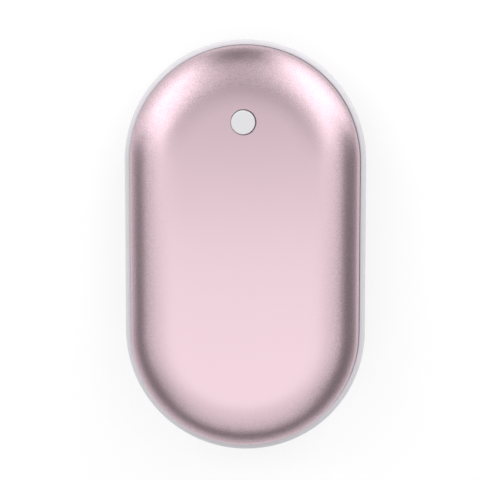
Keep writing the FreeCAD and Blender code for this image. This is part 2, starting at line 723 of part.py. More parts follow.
def plain_box(name, middle_x, middle_y, z, width, length, height):
    box = doc.addObject("Part::Box", name)
    bind(box, "Length", width)
    bind(box, "Width", length)
    bind(box, "Height", height)
    bind(box, "Placement.Base.x", f"{middle_x} - ({width}) / 2")
    bind(box, "Placement.Base.y", f"{middle_y} - ({length}) / 2")
    bind(box, "Placement.Base.z", z)
    return box


def make_screw(name, x, y, seat, up):
    """A cross-head screw whose head sits on the level seat, pointing up or down."""
    if up:
        head_z, shank_z = f"{seat} - screw_head_height", f"{seat} - screw_head_height / 2"
        slot_z = head_z
    else:
        head_z, shank_z = seat, f"{seat} - screw_length"
        slot_z = f"{seat} + screw_head_height - slot_depth"
    head = plain_cylinder(f"{name}_head", x, y, head_z, "screw_head_radius", "screw_head_height")
    length = "screw_length + screw_head_height / 2"
    shank = plain_cylinder(f"{name}_shank", x, y, shank_z, "screw_radius", length)
    solid = doc.addObject("Part::Fuse", f"{name}_solid")
    solid.Base = head
    solid.Tool = shank
    arm = "1.3 * screw_head_radius"
    along = plain_box(f"{name}_along", x, y, slot_z, arm, "slot_width", "slot_depth")
    across = plain_box(f"{name}_across", x, y, slot_z, "slot_width", arm, "slot_depth")
    cross = doc.addObject("Part::Fuse", f"{name}_cross")
    cross.Base = along
    cross.Tool = across
    screw = doc.addObject("Part::Cut", name)
    screw.Base = solid
    screw.Tool = cross
    return screw


def make_group(label, members):
    """One node of several separate solids, lifted from the middle of the band."""
    group = doc.addObject("Part::Compound", label)
    group.Label = label
    group.Links = members
    bind(group, "Placement.Base.z", "cover_top")
    nodes.append(group)
    return group


def make_screws():
    frame_screws = []
    for count, (x, y) in enumerate(four_corners(), start=1):
        name = f"frame_screw_{count}"
        seat = "frame_top - ear_thickness"
        frame_screws.append(make_screw(name, f"{x} * screw_x", f"{y} * ear_place", seat, True))
    make_group("frame_screws", frame_screws)
    board_screws = []
    for count, side in enumerate((1, -1), start=1):
        x = f"{side} * board_screw_x"
        board_screws.append(make_screw(f"board_screw_{count}", x, "board_screw_y", "board_top", False))
    make_group("board_screws", board_screws)


# Battery cells, strips and leads


def make_cell(label, side):
    body = new_body(label, f"{side} * cell_x", "cell_bottom")
    profile = new_sketch(body, "profile", "XY_Plane")
    radius = "cell_diameter / 2"
    shoulder = "cell_length - terminal_height"
    groove = "cell_length - cell_groove_place"
    corners = [
        ("0", "0"),
        (f"{radius} - cell_edge", "0"),
        (radius, "cell_edge"),
        (radius, f"{groove} - cell_groove_width"),
        (f"{radius} - cell_groove_depth", f"{groove} - cell_groove_width / 2"),
        (radius, groove),
        (radius, f"{shoulder} - cell_edge"),
        (f"{radius} - cell_edge", shoulder),
        ("terminal_radius", shoulder),
        ("terminal_radius", "cell_length"),
        ("0", "cell_length"),
    ]
    draw_path(profile, corners, {1: ("cell_edge", 1), 6: ("cell_edge", 1)})
    add_turn(body, profile, 360)


def make_strip(label, low):
    body = new_body(label)
    plate = new_sketch(body, "plate", "XZ_Plane", lift=f"-({low})")
    half_height = "strip_height / 2"
    draw_rounded(plate, "pack_half_width - strip_overhang", half_height, "strip_height / 6")
    add_pad(body, plate, "strip_thickness", back=True)


def add_sweep(body, spine, profile):
    sweep = body.newObject("PartDesign::AdditivePipe", f"{body.Label}_sweep")
    sweep.Profile = profile
    sweep.Spine = (spine, [])


def make_battery_leads():
    face = "cell_top + strip_thickness"
    landing = f"{face} + wire_reach"
    body = new_body("positive_lead", x="-wire_x")
    spine = new_sketch(body, "route", "YZ_Plane")
    corners = [
        (face, "positive_lead_rise"),
        (f"{landing} - wire_bend", "positive_lead_rise"),
        (landing, "positive_lead_rise - wire_bend"),
        (landing, "board_top"),
    ]
    draw_path(spine, corners, {1: ("wire_bend", -1)}, closed=False)
    core = new_sketch(body, "core", "XZ_Plane", lift=f"-({face})")
    draw_circle(core, "0", "positive_lead_rise", "wire_radius")
    add_sweep(body, spine, core)

    outside = "cell_bottom - strip_thickness - wire_radius - wire_gap"
    body = new_body("negative_lead", x="wire_x")
    spine = new_sketch(body, "route", "YZ_Plane")
    corners = [
        (outside, "0"),
        (outside, "wire_level - wire_bend"),
        (f"{outside} + wire_bend", "wire_level"),
        (f"{landing} - wire_bend", "wire_level"),
        (landing, "wire_level - wire_bend"),
        (landing, "board_top"),
    ]
    draw_path(spine, corners, {1: ("wire_bend", -1), 3: ("wire_bend", -1)}, closed=False)
    core = new_sketch(body, "core", "XY_Plane")
    draw_circle(core, "0", outside, "wire_radius")
    add_sweep(body, spine, core)


# Circuit board and what stands on it


def make_circuit_board():
    body = new_body("circuit_board")
    outline = new_sketch(body, "outline", "XY_Plane", lift="board_under")
    half_chord = "sqrt(board_radius * board_radius - board_edge_offset * board_edge_offset)"
    corners = [(f"-{half_chord}", "board_edge"), (half_chord, "board_edge")]
    draw_path(outline, corners, {1: ("board_radius", 1)})
    add_pad(body, outline, "board_thickness")
    tab = new_sketch(body, "tab", "XY_Plane", lift="board_under", across="end_centre", turn="port_angle")
    tip = "relief_radius - tab_clearance"
    draw_rectangle(tab, "-tab_half_width", "tab_half_width", "board_radius - board_clearance * 3", tip)
    add_pad(body, tab, "board_thickness")
    notch = new_sketch(body, "notch", "XY_Plane", lift="board_top")
    half_width = "usb_a_width / 2 + notch_clearance"
    low = "end_centre + usb_a_back - notch_clearance"
    draw_rectangle(notch, f"-({half_width})", half_width, low, "end_centre + band_radius")
    add_pocket(body, notch, "2 * board_thickness")
    holes = new_sketch(body, "screw_holes", "XY_Plane", lift="board_top")
    for side in (1, -1):
        draw_circle(holes, f"{side} * board_screw_x", "board_screw_y", "screw_radius + screw_clearance")
    add_pocket(body, holes, "2 * board_thickness")


def make_switch():
    body = new_body("switch_base", y="button_y")
    base = new_sketch(body, "base", "XY_Plane", lift="board_top")
    draw_rounded(base, "switch_side / 2", "switch_side / 2", "switch_side / 12")
    add_pad(body, base, "switch_height")
    bore = new_sketch(body, "bore", "XY_Plane", lift="switch_top")
    draw_circle(bore, "0", "0", "plunger_radius + plunger_clearance")
    add_pocket(body, bore, "plunger_depth + press_travel + plunger_clearance")

    plunger = new_body("switch_plunger", y="button_y")
    stem = new_sketch(plunger, "stem", "XY_Plane", lift="switch_top - plunger_depth")
    draw_circle(stem, "0", "0", "plunger_radius")
    add_pad(plunger, stem, "plunger_depth + plunger_height")


def make_button():
    body = new_body("button", y="button_y")
    profile = new_sketch(body, "profile", "XZ_Plane")
    cap_radius = "button_diameter / 2"
    cap_top = "cover_top + button_proud"
    corners = [
        ("0", "plunger_top"),
        ("post_radius", "plunger_top"),
        ("post_radius", "flange_top - flange_thickness"),
        ("flange_radius", "flange_top - flange_thickness"),
        ("flange_radius", "flange_top"),
        (cap_radius, "flange_top"),
        (cap_radius, f"{cap_top} - button_edge"),
        (f"{cap_radius} - button_edge", cap_top),
        ("0", cap_top),
    ]
    draw_path(profile, corners, {6: ("button_edge", 1)})
    add_turn(body, profile, 360)


def make_usb_a():
    back = "end_centre + usb_a_back"
    shell = new_body("usb_a_shell", y=back)
    outside = new_sketch(shell, "outside", "XZ_Plane")
    draw_rounded(outside, "usb_a_width / 2", "usb_a_height / 2", "usb_a_corner")
    add_pad(shell, outside, "usb_a_depth", back=True)
    wings = new_sketch(shell, "wings", "XY_Plane", lift="board_top")
    for side in (1, -1):
        near, far = f"{side} * (usb_a_width / 2 - shell_wall / 2)", f"{side} * (usb_a_width / 2 + usb_a_wing)"
        left, right = (near, far) if side > 0 else (far, near)
        draw_rectangle(wings, left, right, "usb_a_wing", "3 * usb_a_wing")
    add_pad(shell, wings, "shell_wall")
    inside = new_sketch(shell, "inside", "XZ_Plane", lift="-shell_wall")
    draw_rounded(
        inside,
        "usb_a_width / 2 - shell_wall",
        "usb_a_height / 2 - shell_wall",
        "usb_a_corner - shell_wall",
    )
    add_pocket(shell, inside, "usb_a_depth")

    insulator = new_body("usb_a_insulator", y=back)
    block = new_sketch(insulator, "block", "XZ_Plane", lift="-(shell_wall + insulator_clearance)")
    inset = "shell_wall - insulator_clearance"
    draw_rounded(
        block,
        f"usb_a_width / 2 - {inset}",
        f"usb_a_height / 2 - {inset}",
        "usb_a_corner - shell_wall",
    )
    add_pad(insulator, block, "usb_a_block_depth", back=True)
    tongue = new_sketch(insulator, "tongue", "XZ_Plane", lift="-(shell_wall + usb_a_block_depth / 2)")
    roof = "usb_a_height / 2 - shell_wall - usb_a_tongue_drop"
    low = f"{roof} - usb_a_tongue_thickness"
    draw_rectangle(tongue, "-usb_a_tongue_width / 2", "usb_a_tongue_width / 2", low, roof)
    reach = "usb_a_depth - usb_a_tongue_setback - shell_wall - usb_a_block_depth / 2"
    add_pad(insulator, tongue, reach, back=True)

    contacts = []
    for name, place in (("inner", "contact_inner"), ("outer", "contact_outer")):
        for side in (1, -1):
            blade = plain_box(
                f"usb_a_contact_{name}_{'right' if side > 0 else 'left'}",
                f"{side} * {place}",
                f"{back} + (contact_start + contact_end) / 2",
                f"{low} - contact_thickness",
                "contact_width",
                "contact_end - contact_start",
                "contact_thickness",
            )
            contacts.append(blade)
    make_group("usb_a_contacts", contacts)


def draw_micro_outline(sketch, grow):
    """The charging socket's outline with its two bevelled lower corners, made larger by grow."""
    half = f"(micro_width / 2 + {grow})"
    high, low = f"micro_height / 2 + {grow}", f"-micro_height / 2 - ({grow})"
    corners = [
        (f"-{half} + micro_bevel", low),
        (f"{half} - micro_bevel", low),
        (half, f"{low} + micro_bevel"),
        (half, high),
        (f"-{half}", high),
        (f"-{half}", f"{low} + micro_bevel"),
    ]
    draw_path(sketch, corners)


def make_micro_usb():
    back = "band_radius - micro_setback - micro_depth"
    shell = new_body("micro_usb_shell", y="end_centre", turn="port_angle")
    outside = new_sketch(shell, "outside", "XZ_Plane", lift=f"-({back})")
    draw_micro_outline(outside, "0")
    add_pad(shell, outside, "micro_depth", back=True)
    inside = new_sketch(shell, "inside", "XZ_Plane", lift=f"-({back} + shell_wall)")
    draw_micro_outline(inside, "0 - shell_wall")
    add_pocket(shell, inside, "micro_depth")

    insulator = new_body("micro_usb_insulator", y="end_centre", turn="port_angle")
    start = f"{back} + shell_wall + insulator_clearance"
    block = new_sketch(insulator, "block", "XZ_Plane", lift=f"-({start})")
    draw_micro_outline(block, "0 - shell_wall - insulator_clearance")
    add_pad(insulator, block, "micro_block_depth", back=True)
    tongue = new_sketch(insulator, "tongue", "XZ_Plane", lift=f"-({start} + micro_block_depth / 2)")
    half_width = "micro_tongue_width / 2"
    half_height = "micro_tongue_thickness / 2"
    draw_rectangle(tongue, f"-{half_width}", half_width, f"-{half_height}", half_height)
    reach = "micro_depth - 3 * shell_wall - micro_block_depth / 2 - insulator_clearance"
    add_pad(insulator, tongue, reach, back=True)


def make_light_guide():
    guide = new_body("light_guide", y="end_centre", turn="-port_angle")
    bar = new_sketch(guide, "bar", "XY_Plane", lift="board_top + guide_seat")
    draw_rectangle(bar, "-guide_half", "guide_half", "guide_outside - guide_thickness", "guide_outside")
    add_pad(guide, bar, "pin_radius + guide_overhang / 2 - board_top - guide_seat")
    for count, step in enumerate((-1.5, -0.5, 0.5, 1.5), start=1):
        place = f"{step} * pin_spacing"
        pin = new_sketch(guide, f"pin_{count}", "XZ_Plane", lift="-(guide_outside - guide_thickness / 2)")
        draw_circle(pin, place, "0", "pin_radius")
        side = f"(abs({step}) * pin_spacing + pin_radius)"
        reach = f"sqrt(band_radius * band_radius - {side} * {side})"
        add_pad(guide, pin, f"{reach} - guide_outside + guide_thickness / 2", back=True)

    lights = []
    middle = "light_radius + light_depth / 2"
    for count, step in enumerate((-1.5, -0.5, 0.5, 1.5), start=1):
        name = f"indicator_light_{count}"
        x = f"{step} * pin_spacing"
        lights.append(plain_box(name, x, middle, "board_top", "light_side", "light_depth", "light_height"))
    group = make_group("indicator_lights", lights)
    bind(group, "Placement.Base.y", "end_centre")
    bind(group, "Placement.Rotation.Angle", "-port_angle")


def make_components():
    chip = plain_box(
        "controller_chip",
        "component_x",
        "button_y + component_rise",
        "cover_top + board_top",
        "chip_width",
        "chip_length",
        "chip_height",
    )
    inductor = plain_cylinder(
        "inductor",
        "-component_x",
        "button_y + component_rise",
        "cover_top + board_top",
        "inductor_radius",
        "inductor_height",
    )
    nodes.extend([chip, inductor])
    capacitors = []
    for name, side in (("right", 1), ("left", -1)):
        capacitors.append(
            plain_box(
                f"capacitor_{name}",
                f"{side} * capacitor_x",
                "button_y + capacitor_rise",
                "board_top",
                "capacitor_width",
                "capacitor_length",
                "capacitor_width",
            )
        )
    make_group("capacitors", capacitors)


# Heaters, foam and sensor


def make_heaters():
    front = new_body("front_heater")
    film = new_sketch(front, "film", "XY_Plane", lift="film_inside")
    draw_stadium(film, "film_radius")
    add_pad(front, film, "film_thickness")
    slot = new_sketch(front, "button_slot", "XY_Plane", lift="cover_inside")
    half_width, far = "film_slot_half", "end_centre + flat_half"
    corners = [
        (half_width, "button_y"),
        (half_width, far),
        (f"-{half_width}", far),
        (f"-{half_width}", "button_y"),
    ]
    draw_path(slot, corners, {3: ("half", 1, "button_y")})
    add_pocket(front, slot, "2 * film_thickness")
    rear = new_body("rear_heater")
    film = new_sketch(rear, "film", "XY_Plane", lift="-cover_inside")
    draw_stadium(film, "film_radius")
    add_pad(rear, film, "film_thickness")


def make_foam(label, low, high):
    body = new_body(label)
    sheet = new_sketch(body, "sheet", "XY_Plane", lift=low)
    half_width, top = "film_radius", "cell_top - pad_inset"
    corners = [
        (half_width, top),
        (f"-({half_width})", top),
        (f"-({half_width})", "-end_centre"),
        (half_width, "-end_centre"),
    ]
    draw_path(sheet, corners, {2: ("half", 1, "-end_centre")})
    add_pad(body, sheet, f"{high} - ({low})")


def make_ribbon(label, x, top, bottom, top_y, bottom_y, width, thickness):
    """A twin lead from one level down to another, with an easy step sideways half way."""
    body = new_body(label, x=x)
    spine = new_sketch(body, "route", "YZ_Plane")
    middle_z = f"({top} + {bottom}) / 2"
    middle_y = f"({top_y} + {bottom_y}) / 2"
    step = f"abs({top_y} - ({bottom_y}))"
    radius = f"({step} * {step} + ribbon_bend * ribbon_bend) / (4 * {step})"
    turn = 1 if number_of(top_y) < number_of(bottom_y) else -1
    corners = [
        (top_y, top),
        (top_y, f"{middle_z} + ribbon_bend / 2"),
        (middle_y, middle_z),
        (bottom_y, f"{middle_z} - ribbon_bend / 2"),
        (bottom_y, bottom),
    ]
    draw_path(spine, corners, {1: (radius, turn), 2: (radius, -turn)}, closed=False)
    core = new_sketch(body, "core", "XY_Plane", lift=top)
    straight_half = f"({width} - ({thickness})) / 2"
    half = f"{thickness} / 2"
    high, low = f"{top_y} + {half}", f"{top_y} - {half}"
    ring = [
        (f"-{straight_half}", low),
        (straight_half, low),
        (straight_half, high),
        (f"-{straight_half}", high),
    ]
    draw_path(core, ring, {1: ("half", 1, straight_half), 3: ("half", 1, f"-{straight_half}")})
    add_sweep(body, spine, core)


def make_heater_leads():
    front_top = "lead_row + ribbon_offset"
    make_ribbon(
        "front_heater_lead",
        "front_lead_x",
        "film_inside",
        "board_top",
        front_top,
        "lead_row",
        "ribbon_width",
        "ribbon_thickness",
    )
    make_ribbon(
        "rear_heater_lead",
        "-rear_lead_x",
        "board_under",
        "film_thickness - cover_inside",
        "rear_lead_y - ribbon_offset / 2",
        "rear_lead_y",
        "ribbon_width",
        "ribbon_thickness",
    )
    sensor = plain_box(
        "thermistor",
        "-thermistor_x",
        front_top,
        "cover_top + film_inside - thermistor_height",
        "thermistor_length",
        "thermistor_width",
        "thermistor_height",
    )
    nodes.append(sensor)
    make_ribbon(
        "thermistor_lead",
        "-thermistor_x",
        "film_inside - thermistor_height",
        "board_top",
        front_top,
        "lead_row",
        "thermistor_ribbon_width",
        "thermistor_ribbon_thickness",
    )


# The whole hand warmer

make_rear_cover()
make_front_cover()
make_band()
make_adhesive("rear_adhesive", "-rim_level")
make_adhesive("front_adhesive", "channel_floor")
make_inner_frame()
make_screws()
make_cell("left_cell", -1)
make_cell("right_cell", 1)
make_strip("positive_strip", "cell_top")
make_strip("negative_strip", "cell_bottom - strip_thickness")
make_battery_leads()
make_circuit_board()
make_switch()
make_button()
make_usb_a()
make_micro_usb()
make_light_guide()
make_components()
make_heaters()
make_foam("front_pad", "cell_diameter / 2 + pad_clearance", "film_inside")
make_foam("rear_pad", "-film_inside", "floor_under - pad_clearance")
make_heater_leads()
doc.recompute()

# Check every object and write each sub-part
for item in doc.Objects:
    if "Invalid" in item.State or "Error" in item.State:
        raise ValueError(f"{item.Name} is not sound: {item.State}")
os.makedirs("parts", exist_ok=True)
for node in nodes:
    shape = node.Shape
    if shape.isNull() or not shape.isValid() or not shape.Solids:
        raise ValueError(f"{node.Label} has no valid solid")
    shape.exportStep(f"parts/{node.Label}.step")
    box = shape.BoundBox
    print(f"{node.Label}: {len(shape.Solids)} solid(s), {shape.Volume:.1f} mm3,", end=" ")
    print(f"z {box.ZMin:.2f} to {box.ZMax:.2f}")
print(f"{len(nodes)} sub-parts, {number_of('2 * band_radius'):.2f} by", end=" ")
print(f"{number_of('straight + 2 * band_radius'):.2f} by {number_of('2 * cover_top'):.2f} mm")
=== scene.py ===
import bpy, bmesh, math
from mathutils import Matrix, Vector


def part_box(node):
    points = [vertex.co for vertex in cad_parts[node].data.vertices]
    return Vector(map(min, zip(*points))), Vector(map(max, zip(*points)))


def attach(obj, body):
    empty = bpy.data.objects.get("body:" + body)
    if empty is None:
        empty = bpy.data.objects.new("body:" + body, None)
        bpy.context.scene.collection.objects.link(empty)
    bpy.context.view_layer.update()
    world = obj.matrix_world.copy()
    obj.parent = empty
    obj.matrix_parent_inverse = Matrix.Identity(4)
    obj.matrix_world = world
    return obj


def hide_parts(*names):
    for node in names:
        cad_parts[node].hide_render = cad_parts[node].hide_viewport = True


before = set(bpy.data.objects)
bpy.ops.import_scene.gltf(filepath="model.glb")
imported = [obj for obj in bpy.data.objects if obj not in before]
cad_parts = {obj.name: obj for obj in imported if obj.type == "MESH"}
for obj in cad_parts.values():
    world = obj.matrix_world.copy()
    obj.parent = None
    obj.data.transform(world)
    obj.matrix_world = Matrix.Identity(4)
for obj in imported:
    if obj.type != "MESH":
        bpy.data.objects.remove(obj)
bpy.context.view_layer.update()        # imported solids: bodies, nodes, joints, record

scene = bpy.context.scene
scene.view_settings.view_transform = "Standard"
print("frame loaded:", len(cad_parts), "nodes")

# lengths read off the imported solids, in metres
bandLow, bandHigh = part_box("band")
coverLow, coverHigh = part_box("front_cover")
buttonLow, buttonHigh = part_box("button")
endCentre = bandHigh.y - bandHigh.x           # middle of a round end
midHeight = (bandLow.z + bandHigh.z) / 2
buttonPlace = Vector(((buttonLow.x + buttonHigh.x) / 2, (buttonLow.y + buttonHigh.y) / 2, 0))
weld = 0.000001             # points closer than this are one
slack = 0.00001             # room for picking a point by its place


# node groups that several finishes share

def newGroup(name, inputs, outputs):
    tree = bpy.data.node_groups.new(name, "ShaderNodeTree")
    for label, value in inputs:
        socket = tree.interface.new_socket(label, in_out="INPUT", socket_type="NodeSocketFloat")
        socket.default_value = value
    for label in outputs:
        tree.interface.new_socket(label, in_out="OUTPUT", socket_type="NodeSocketFloat")
    return tree, tree.nodes.new("NodeGroupInput"), tree.nodes.new("NodeGroupOutput")


def makeGrainGroup():
    # fine even grain for the bump, and a slow drift for colour and gloss
    tree, into, out = newGroup("surfaceGrain", [("Grain", 5000.0), ("Drift", 60.0)], ["Height", "Tone"])
    place = tree.nodes.new("ShaderNodeTexCoord")
    fine = tree.nodes.new("ShaderNodeTexNoise")
    fine.inputs["Detail"].default_value = 3.0
    fine.inputs["Roughness"].default_value = 0.65
    slow = tree.nodes.new("ShaderNodeTexNoise")
    slow.inputs["Detail"].default_value = 3.0
    for noise, label, result in ((fine, "Grain", "Height"), (slow, "Drift", "Tone")):
        tree.links.new(place.outputs["Object"], noise.inputs["Vector"])
        tree.links.new(into.outputs[label], noise.inputs["Scale"])
        tree.links.new(noise.outputs["Fac"], out.inputs[result])
    return tree


def makeStreakGroup():
    # drawing lines of rolled metal, long in Y
    tree, into, out = newGroup("drawnStreaks", [("Grain", 9000.0), ("Drift", 900.0)], ["Height", "Tone"])
    place = tree.nodes.new("ShaderNodeTexCoord")
    longer = tree.nodes.new("ShaderNodeMapping")
    longer.inputs["Scale"].default_value = (1.0, 0.05, 1.0)
    tree.links.new(place.outputs["Object"], longer.inputs["Vector"])
    for label, result in (("Grain", "Height"), ("Drift", "Tone")):
        noise = tree.nodes.new("ShaderNodeTexNoise")
        noise.inputs["Detail"].default_value = 3.0
        tree.links.new(longer.outputs["Vector"], noise.inputs["Vector"])
        tree.links.new(into.outputs[label], noise.inputs["Scale"])
        tree.links.new(noise.outputs["Fac"], out.inputs[result])
    return tree


def makeCellGroup():
    # closed cells of foam
    tree, into, out = newGroup("foamCells", [("Grain", 2500.0), ("Drift", 300.0)], ["Height", "Tone"])
    place = tree.nodes.new("ShaderNodeTexCoord")
    cells = tree.nodes.new("ShaderNodeTexVoronoi")
    slow = tree.nodes.new("ShaderNodeTexNoise")
    pairs = ((cells, "Grain", "Distance", "Height"), (slow, "Drift", "Fac", "Tone"))
    for texture, label, value, result in pairs:
        tree.links.new(place.outputs["Object"], texture.inputs["Vector"])
        tree.links.new(into.outputs[label], texture.inputs["Scale"])
        tree.links.new(texture.outputs[value], out.inputs[result])
    return tree


sandAndShadeRange = {
    "grains": (0.35, 0.65),         # value of the noise, from no speck to a full one
    "bend": (0.9995, 0.94),         # how upright the surface normal is, from the flat to a bend
    "lean": (0.9999, 0.992),        # the same at the button end, where the painted shade starts sooner
    "shadedButtonEnd": (0.02, 0.034),     # metres along Y
}


def makeSandAndBendShadeGroup():
    # blasted sand grain, with its darker specks kept to the bends and the button end: a real grain that
    # also paints shade where the metal reflects dark surroundings
    tree, into, out = newGroup("blastedSandAndBendShade", [("Grain", 4400.0)], ["Speck"])
    place = tree.nodes.new("ShaderNodeTexCoord")
    sand = tree.nodes.new("ShaderNodeTexNoise")
    sand.inputs["Detail"].default_value = 1.0
    tree.links.new(place.outputs["Object"], sand.inputs["Vector"])
    tree.links.new(into.outputs["Grain"], sand.inputs["Scale"])
    split = tree.nodes.new("ShaderNodeSeparateXYZ")
    tree.links.new(place.outputs["Normal"], split.inputs["Vector"])
    level = tree.nodes.new("ShaderNodeMath")
    level.operation = "ABSOLUTE"
    tree.links.new(split.outputs["Z"], level.inputs[0])
    along = tree.nodes.new("ShaderNodeSeparateXYZ")
    tree.links.new(place.outputs["Object"], along.inputs["Vector"])
    values = {"grains": sand.outputs["Fac"], "bend": level.outputs["Value"],
              "lean": level.outputs["Value"], "shadedButtonEnd": along.outputs["Y"]}
    ramps = {}
    for label, value in values.items():
        ramp = tree.nodes.new("ShaderNodeMapRange")
        ramp.inputs["From Min"].default_value = sandAndShadeRange[label][0]
        ramp.inputs["From Max"].default_value = sandAndShadeRange[label][1]
        tree.links.new(value, ramp.inputs["Value"])
        ramps[label] = ramp.outputs["Result"]
    mask = ramps["lean"]
    for operation, label in (("MULTIPLY", "shadedButtonEnd"), ("MAXIMUM", "bend"), ("MULTIPLY", "grains")):
        step = tree.nodes.new("ShaderNodeMath")
        step.operation = operation
        tree.links.new(mask, step.inputs[0])
        tree.links.new(ramps[label], step.inputs[1])
        mask = step.outputs["Value"]
    tree.links.new(mask, out.inputs["Speck"])
    return tree


def makeWindowGroup():
    # 1 where a coordinate lies within Half of Centre, one output for each axis
    inputs = [("Centre", 0.0), ("Half", 0.001), ("Soft", 0.00005)]
    tree, into, out = newGroup("axisWindow", inputs, ["X", "Y", "Z"])
    place = tree.nodes.new("ShaderNodeTexCoord")
    split = tree.nodes.new("ShaderNodeSeparateXYZ")
    tree.links.new(place.outputs["Object"], split.inputs["Vector"])
    edge = tree.nodes.new("ShaderNodeMath")
    edge.operation = "ADD"
    tree.links.new(into.outputs["Half"], edge.inputs[0])
    tree.links.new(into.outputs["Soft"], edge.inputs[1])
    for axis in ("X", "Y", "Z"):
        away = tree.nodes.new("ShaderNodeMath")
        away.operation = "SUBTRACT"
        tree.links.new(split.outputs[axis], away.inputs[0])
        tree.links.new(into.outputs["Centre"], away.inputs[1])
        size = tree.nodes.new("ShaderNodeMath")
        size.operation = "ABSOLUTE"
        tree.links.new(away.outputs["Value"], size.inputs[0])
        fade = tree.nodes.new("ShaderNodeMapRange")
        fade.inputs["To Min"].default_value = 1.0
        fade.inputs["To Max"].default_value = 0.0
        tree.links.new(size.outputs["Value"], fade.inputs["Value"])
        tree.links.new(into.outputs["Half"], fade.inputs["From Min"])
        tree.links.new(edge.outputs["Value"], fade.inputs["From Max"])
        tree.links.new(fade.outputs["Result"], out.inputs[axis])
    return tree


def makeTrackGroup():
    # printed conductors: parallel lines, and a staggered net of traces
    tree, into, out = newGroup("printedTracks", [("Lines", 200.0), ("Net", 170.0)], ["Line", "Trace"])
    place = tree.nodes.new("ShaderNodeTexCoord")
    wave = tree.nodes.new("ShaderNodeTexWave")
    bricks = tree.nodes.new("ShaderNodeTexBrick")
    bricks.inputs["Mortar Size"].default_value = 0.03
    for texture, label in ((wave, "Lines"), (bricks, "Net")):
        tree.links.new(place.outputs["Object"], texture.inputs["Vector"])
        tree.links.new(into.outputs[label], texture.inputs["Scale"])
    sharp = tree.nodes.new("ShaderNodeMapRange")
    sharp.inputs["From Min"].default_value = 0.42
    sharp.inputs["From Max"].default_value = 0.58
    tree.links.new(wave.outputs["Fac"], sharp.inputs["Value"])
    tree.links.new(sharp.outputs["Result"], out.inputs["Line"])
    tree.links.new(bricks.outputs["Fac"], out.inputs["Trace"])
    return tree


grainGroup = makeGrainGroup()
streakGroup = makeStreakGroup()
cellGroup = makeCellGroup()
sandAndBendShadeGroup = makeSandAndBendShadeGroup()
windowGroup = makeWindowGroup()
trackGroup = makeTrackGroup()
print("node groups ready")


# finishes

def placeGroup(material, group, **values):
    node = material.node_tree.nodes.new("ShaderNodeGroup")
    node.node_tree = group
    for label, value in values.items():
        node.inputs[label].default_value = value
    return node


def finish(name, dark, light, rough, metal=0.0, pattern=grainGroup, grain=5000.0, drift=60.0,
           depth=0.000002):
    # two close tones that drift into each other, a roughness range and a fine relief
    material = bpy.data.materials.new(name)
    material.use_nodes = True
    nodes, links = material.node_tree.nodes, material.node_tree.links
    shader = nodes["Principled BSDF"]
    shader.inputs["Metallic"].default_value = metal
    surface = placeGroup(material, pattern, Grain=grain, Drift=drift)
    tones = nodes.new("ShaderNodeMix")
    tones.data_type = "RGBA"
    tones.inputs["A"].default_value = (*dark, 1)
    tones.inputs["B"].default_value = (*light, 1)
    links.new(surface.outputs["Tone"], tones.inputs["Factor"])
    links.new(tones.outputs["Result"], shader.inputs["Base Color"])
    spread = nodes.new("ShaderNodeMapRange")
    spread.inputs["To Min"].default_value = rough[0]
    spread.inputs["To Max"].default_value = rough[1]
    links.new(surface.outputs["Tone"], spread.inputs["Value"])
    links.new(spread.outputs["Result"], shader.inputs["Roughness"])
    bump = nodes.new("ShaderNodeBump")
    bump.inputs["Distance"].default_value = depth
    links.new(surface.outputs["Height"], bump.inputs["Height"])
    links.new(bump.outputs["Normal"], shader.inputs["Normal"])
    return material


def overlay(material, mask, colour, rough, metal):
    # a second finish over the first one, where the mask is 1
    nodes, links = material.node_tree.nodes, material.node_tree.links
    shader = nodes["Principled BSDF"]
    for label, value in (("Base Color", (*colour, 1)), ("Roughness", rough), ("Metallic", metal)):
        socket = shader.inputs[label]
        if not socket.is_linked and socket.default_value == value:
            continue                      # the same all over, so it stays on its socket
        mix = nodes.new("ShaderNodeMix")
        mix.data_type = "RGBA" if label == "Base Color" else "FLOAT"
        if socket.is_linked:
            links.new(socket.links[0].from_socket, mix.inputs["A"])
        else:
            mix.inputs["A"].default_value = socket.default_value
        mix.inputs["B"].default_value = value
        links.new(mask, mix.inputs["Factor"])
        links.new(mix.outputs["Result"], socket)


def roughen(material, height, depth):
    # a second relief on top of the first one
    nodes, links = material.node_tree.nodes, material.node_tree.links
    socket = nodes["Principled BSDF"].inputs["Normal"]
    bump = nodes.new("ShaderNodeBump")
    bump.inputs["Distance"].default_value = depth
    links.new(socket.links[0].from_socket, bump.inputs["Normal"])
    links.new(height, bump.inputs["Height"])
    links.new(bump.outputs["Normal"], socket)


def window(material, axis, centre, half):
    return placeGroup(material, windowGroup, Centre=centre, Half=half).outputs[axis]


roseMetal = finish("roseMetal", (0.648, 0.488, 0.542), (0.678, 0.511, 0.567), (0.28, 0.31), metal=1.0,
                   grain=1800.0, drift=45.0, depth=0.0000012)
sand = placeGroup(roseMetal, sandAndBendShadeGroup)
roughen(roseMetal, sand.outputs["Speck"], depth=0.000012)
# darker specks on the bends and at the button end: real blast grain, and painted shade where the
# reflections are dark
overlay(roseMetal, sand.outputs["Speck"], (0.485, 0.365, 0.407), rough=0.30, metal=1.0)
whitePlastic = finish("whitePlastic", (0.635, 0.62, 0.65), (0.665, 0.65, 0.68), (0.38, 0.46),
                      grain=3000.0)
buttonPlastic = finish("buttonPlastic", (0.63, 0.625, 0.64), (0.66, 0.655, 0.67), (0.32, 0.40),
                       grain=3500.0)
print("outside finishes ready")


# shared modelling helpers

def vertsOf(geom):
    return [item for item in geom if isinstance(item, bmesh.types.BMVert)]


def edgesAmong(bm, verts):
    chosen = set(verts)
    return [edge for edge in bm.edges if edge.verts[0] in chosen and edge.verts[1] in chosen]


def stretch(bm, vert, step):
    # draw the section on from its last vertex
    fresh = vertsOf(bmesh.ops.extrude_vert_indiv(bm, verts=[vert])["verts"])[0]
    bmesh.ops.translate(bm, verts=[fresh], vec=step)
    return fresh


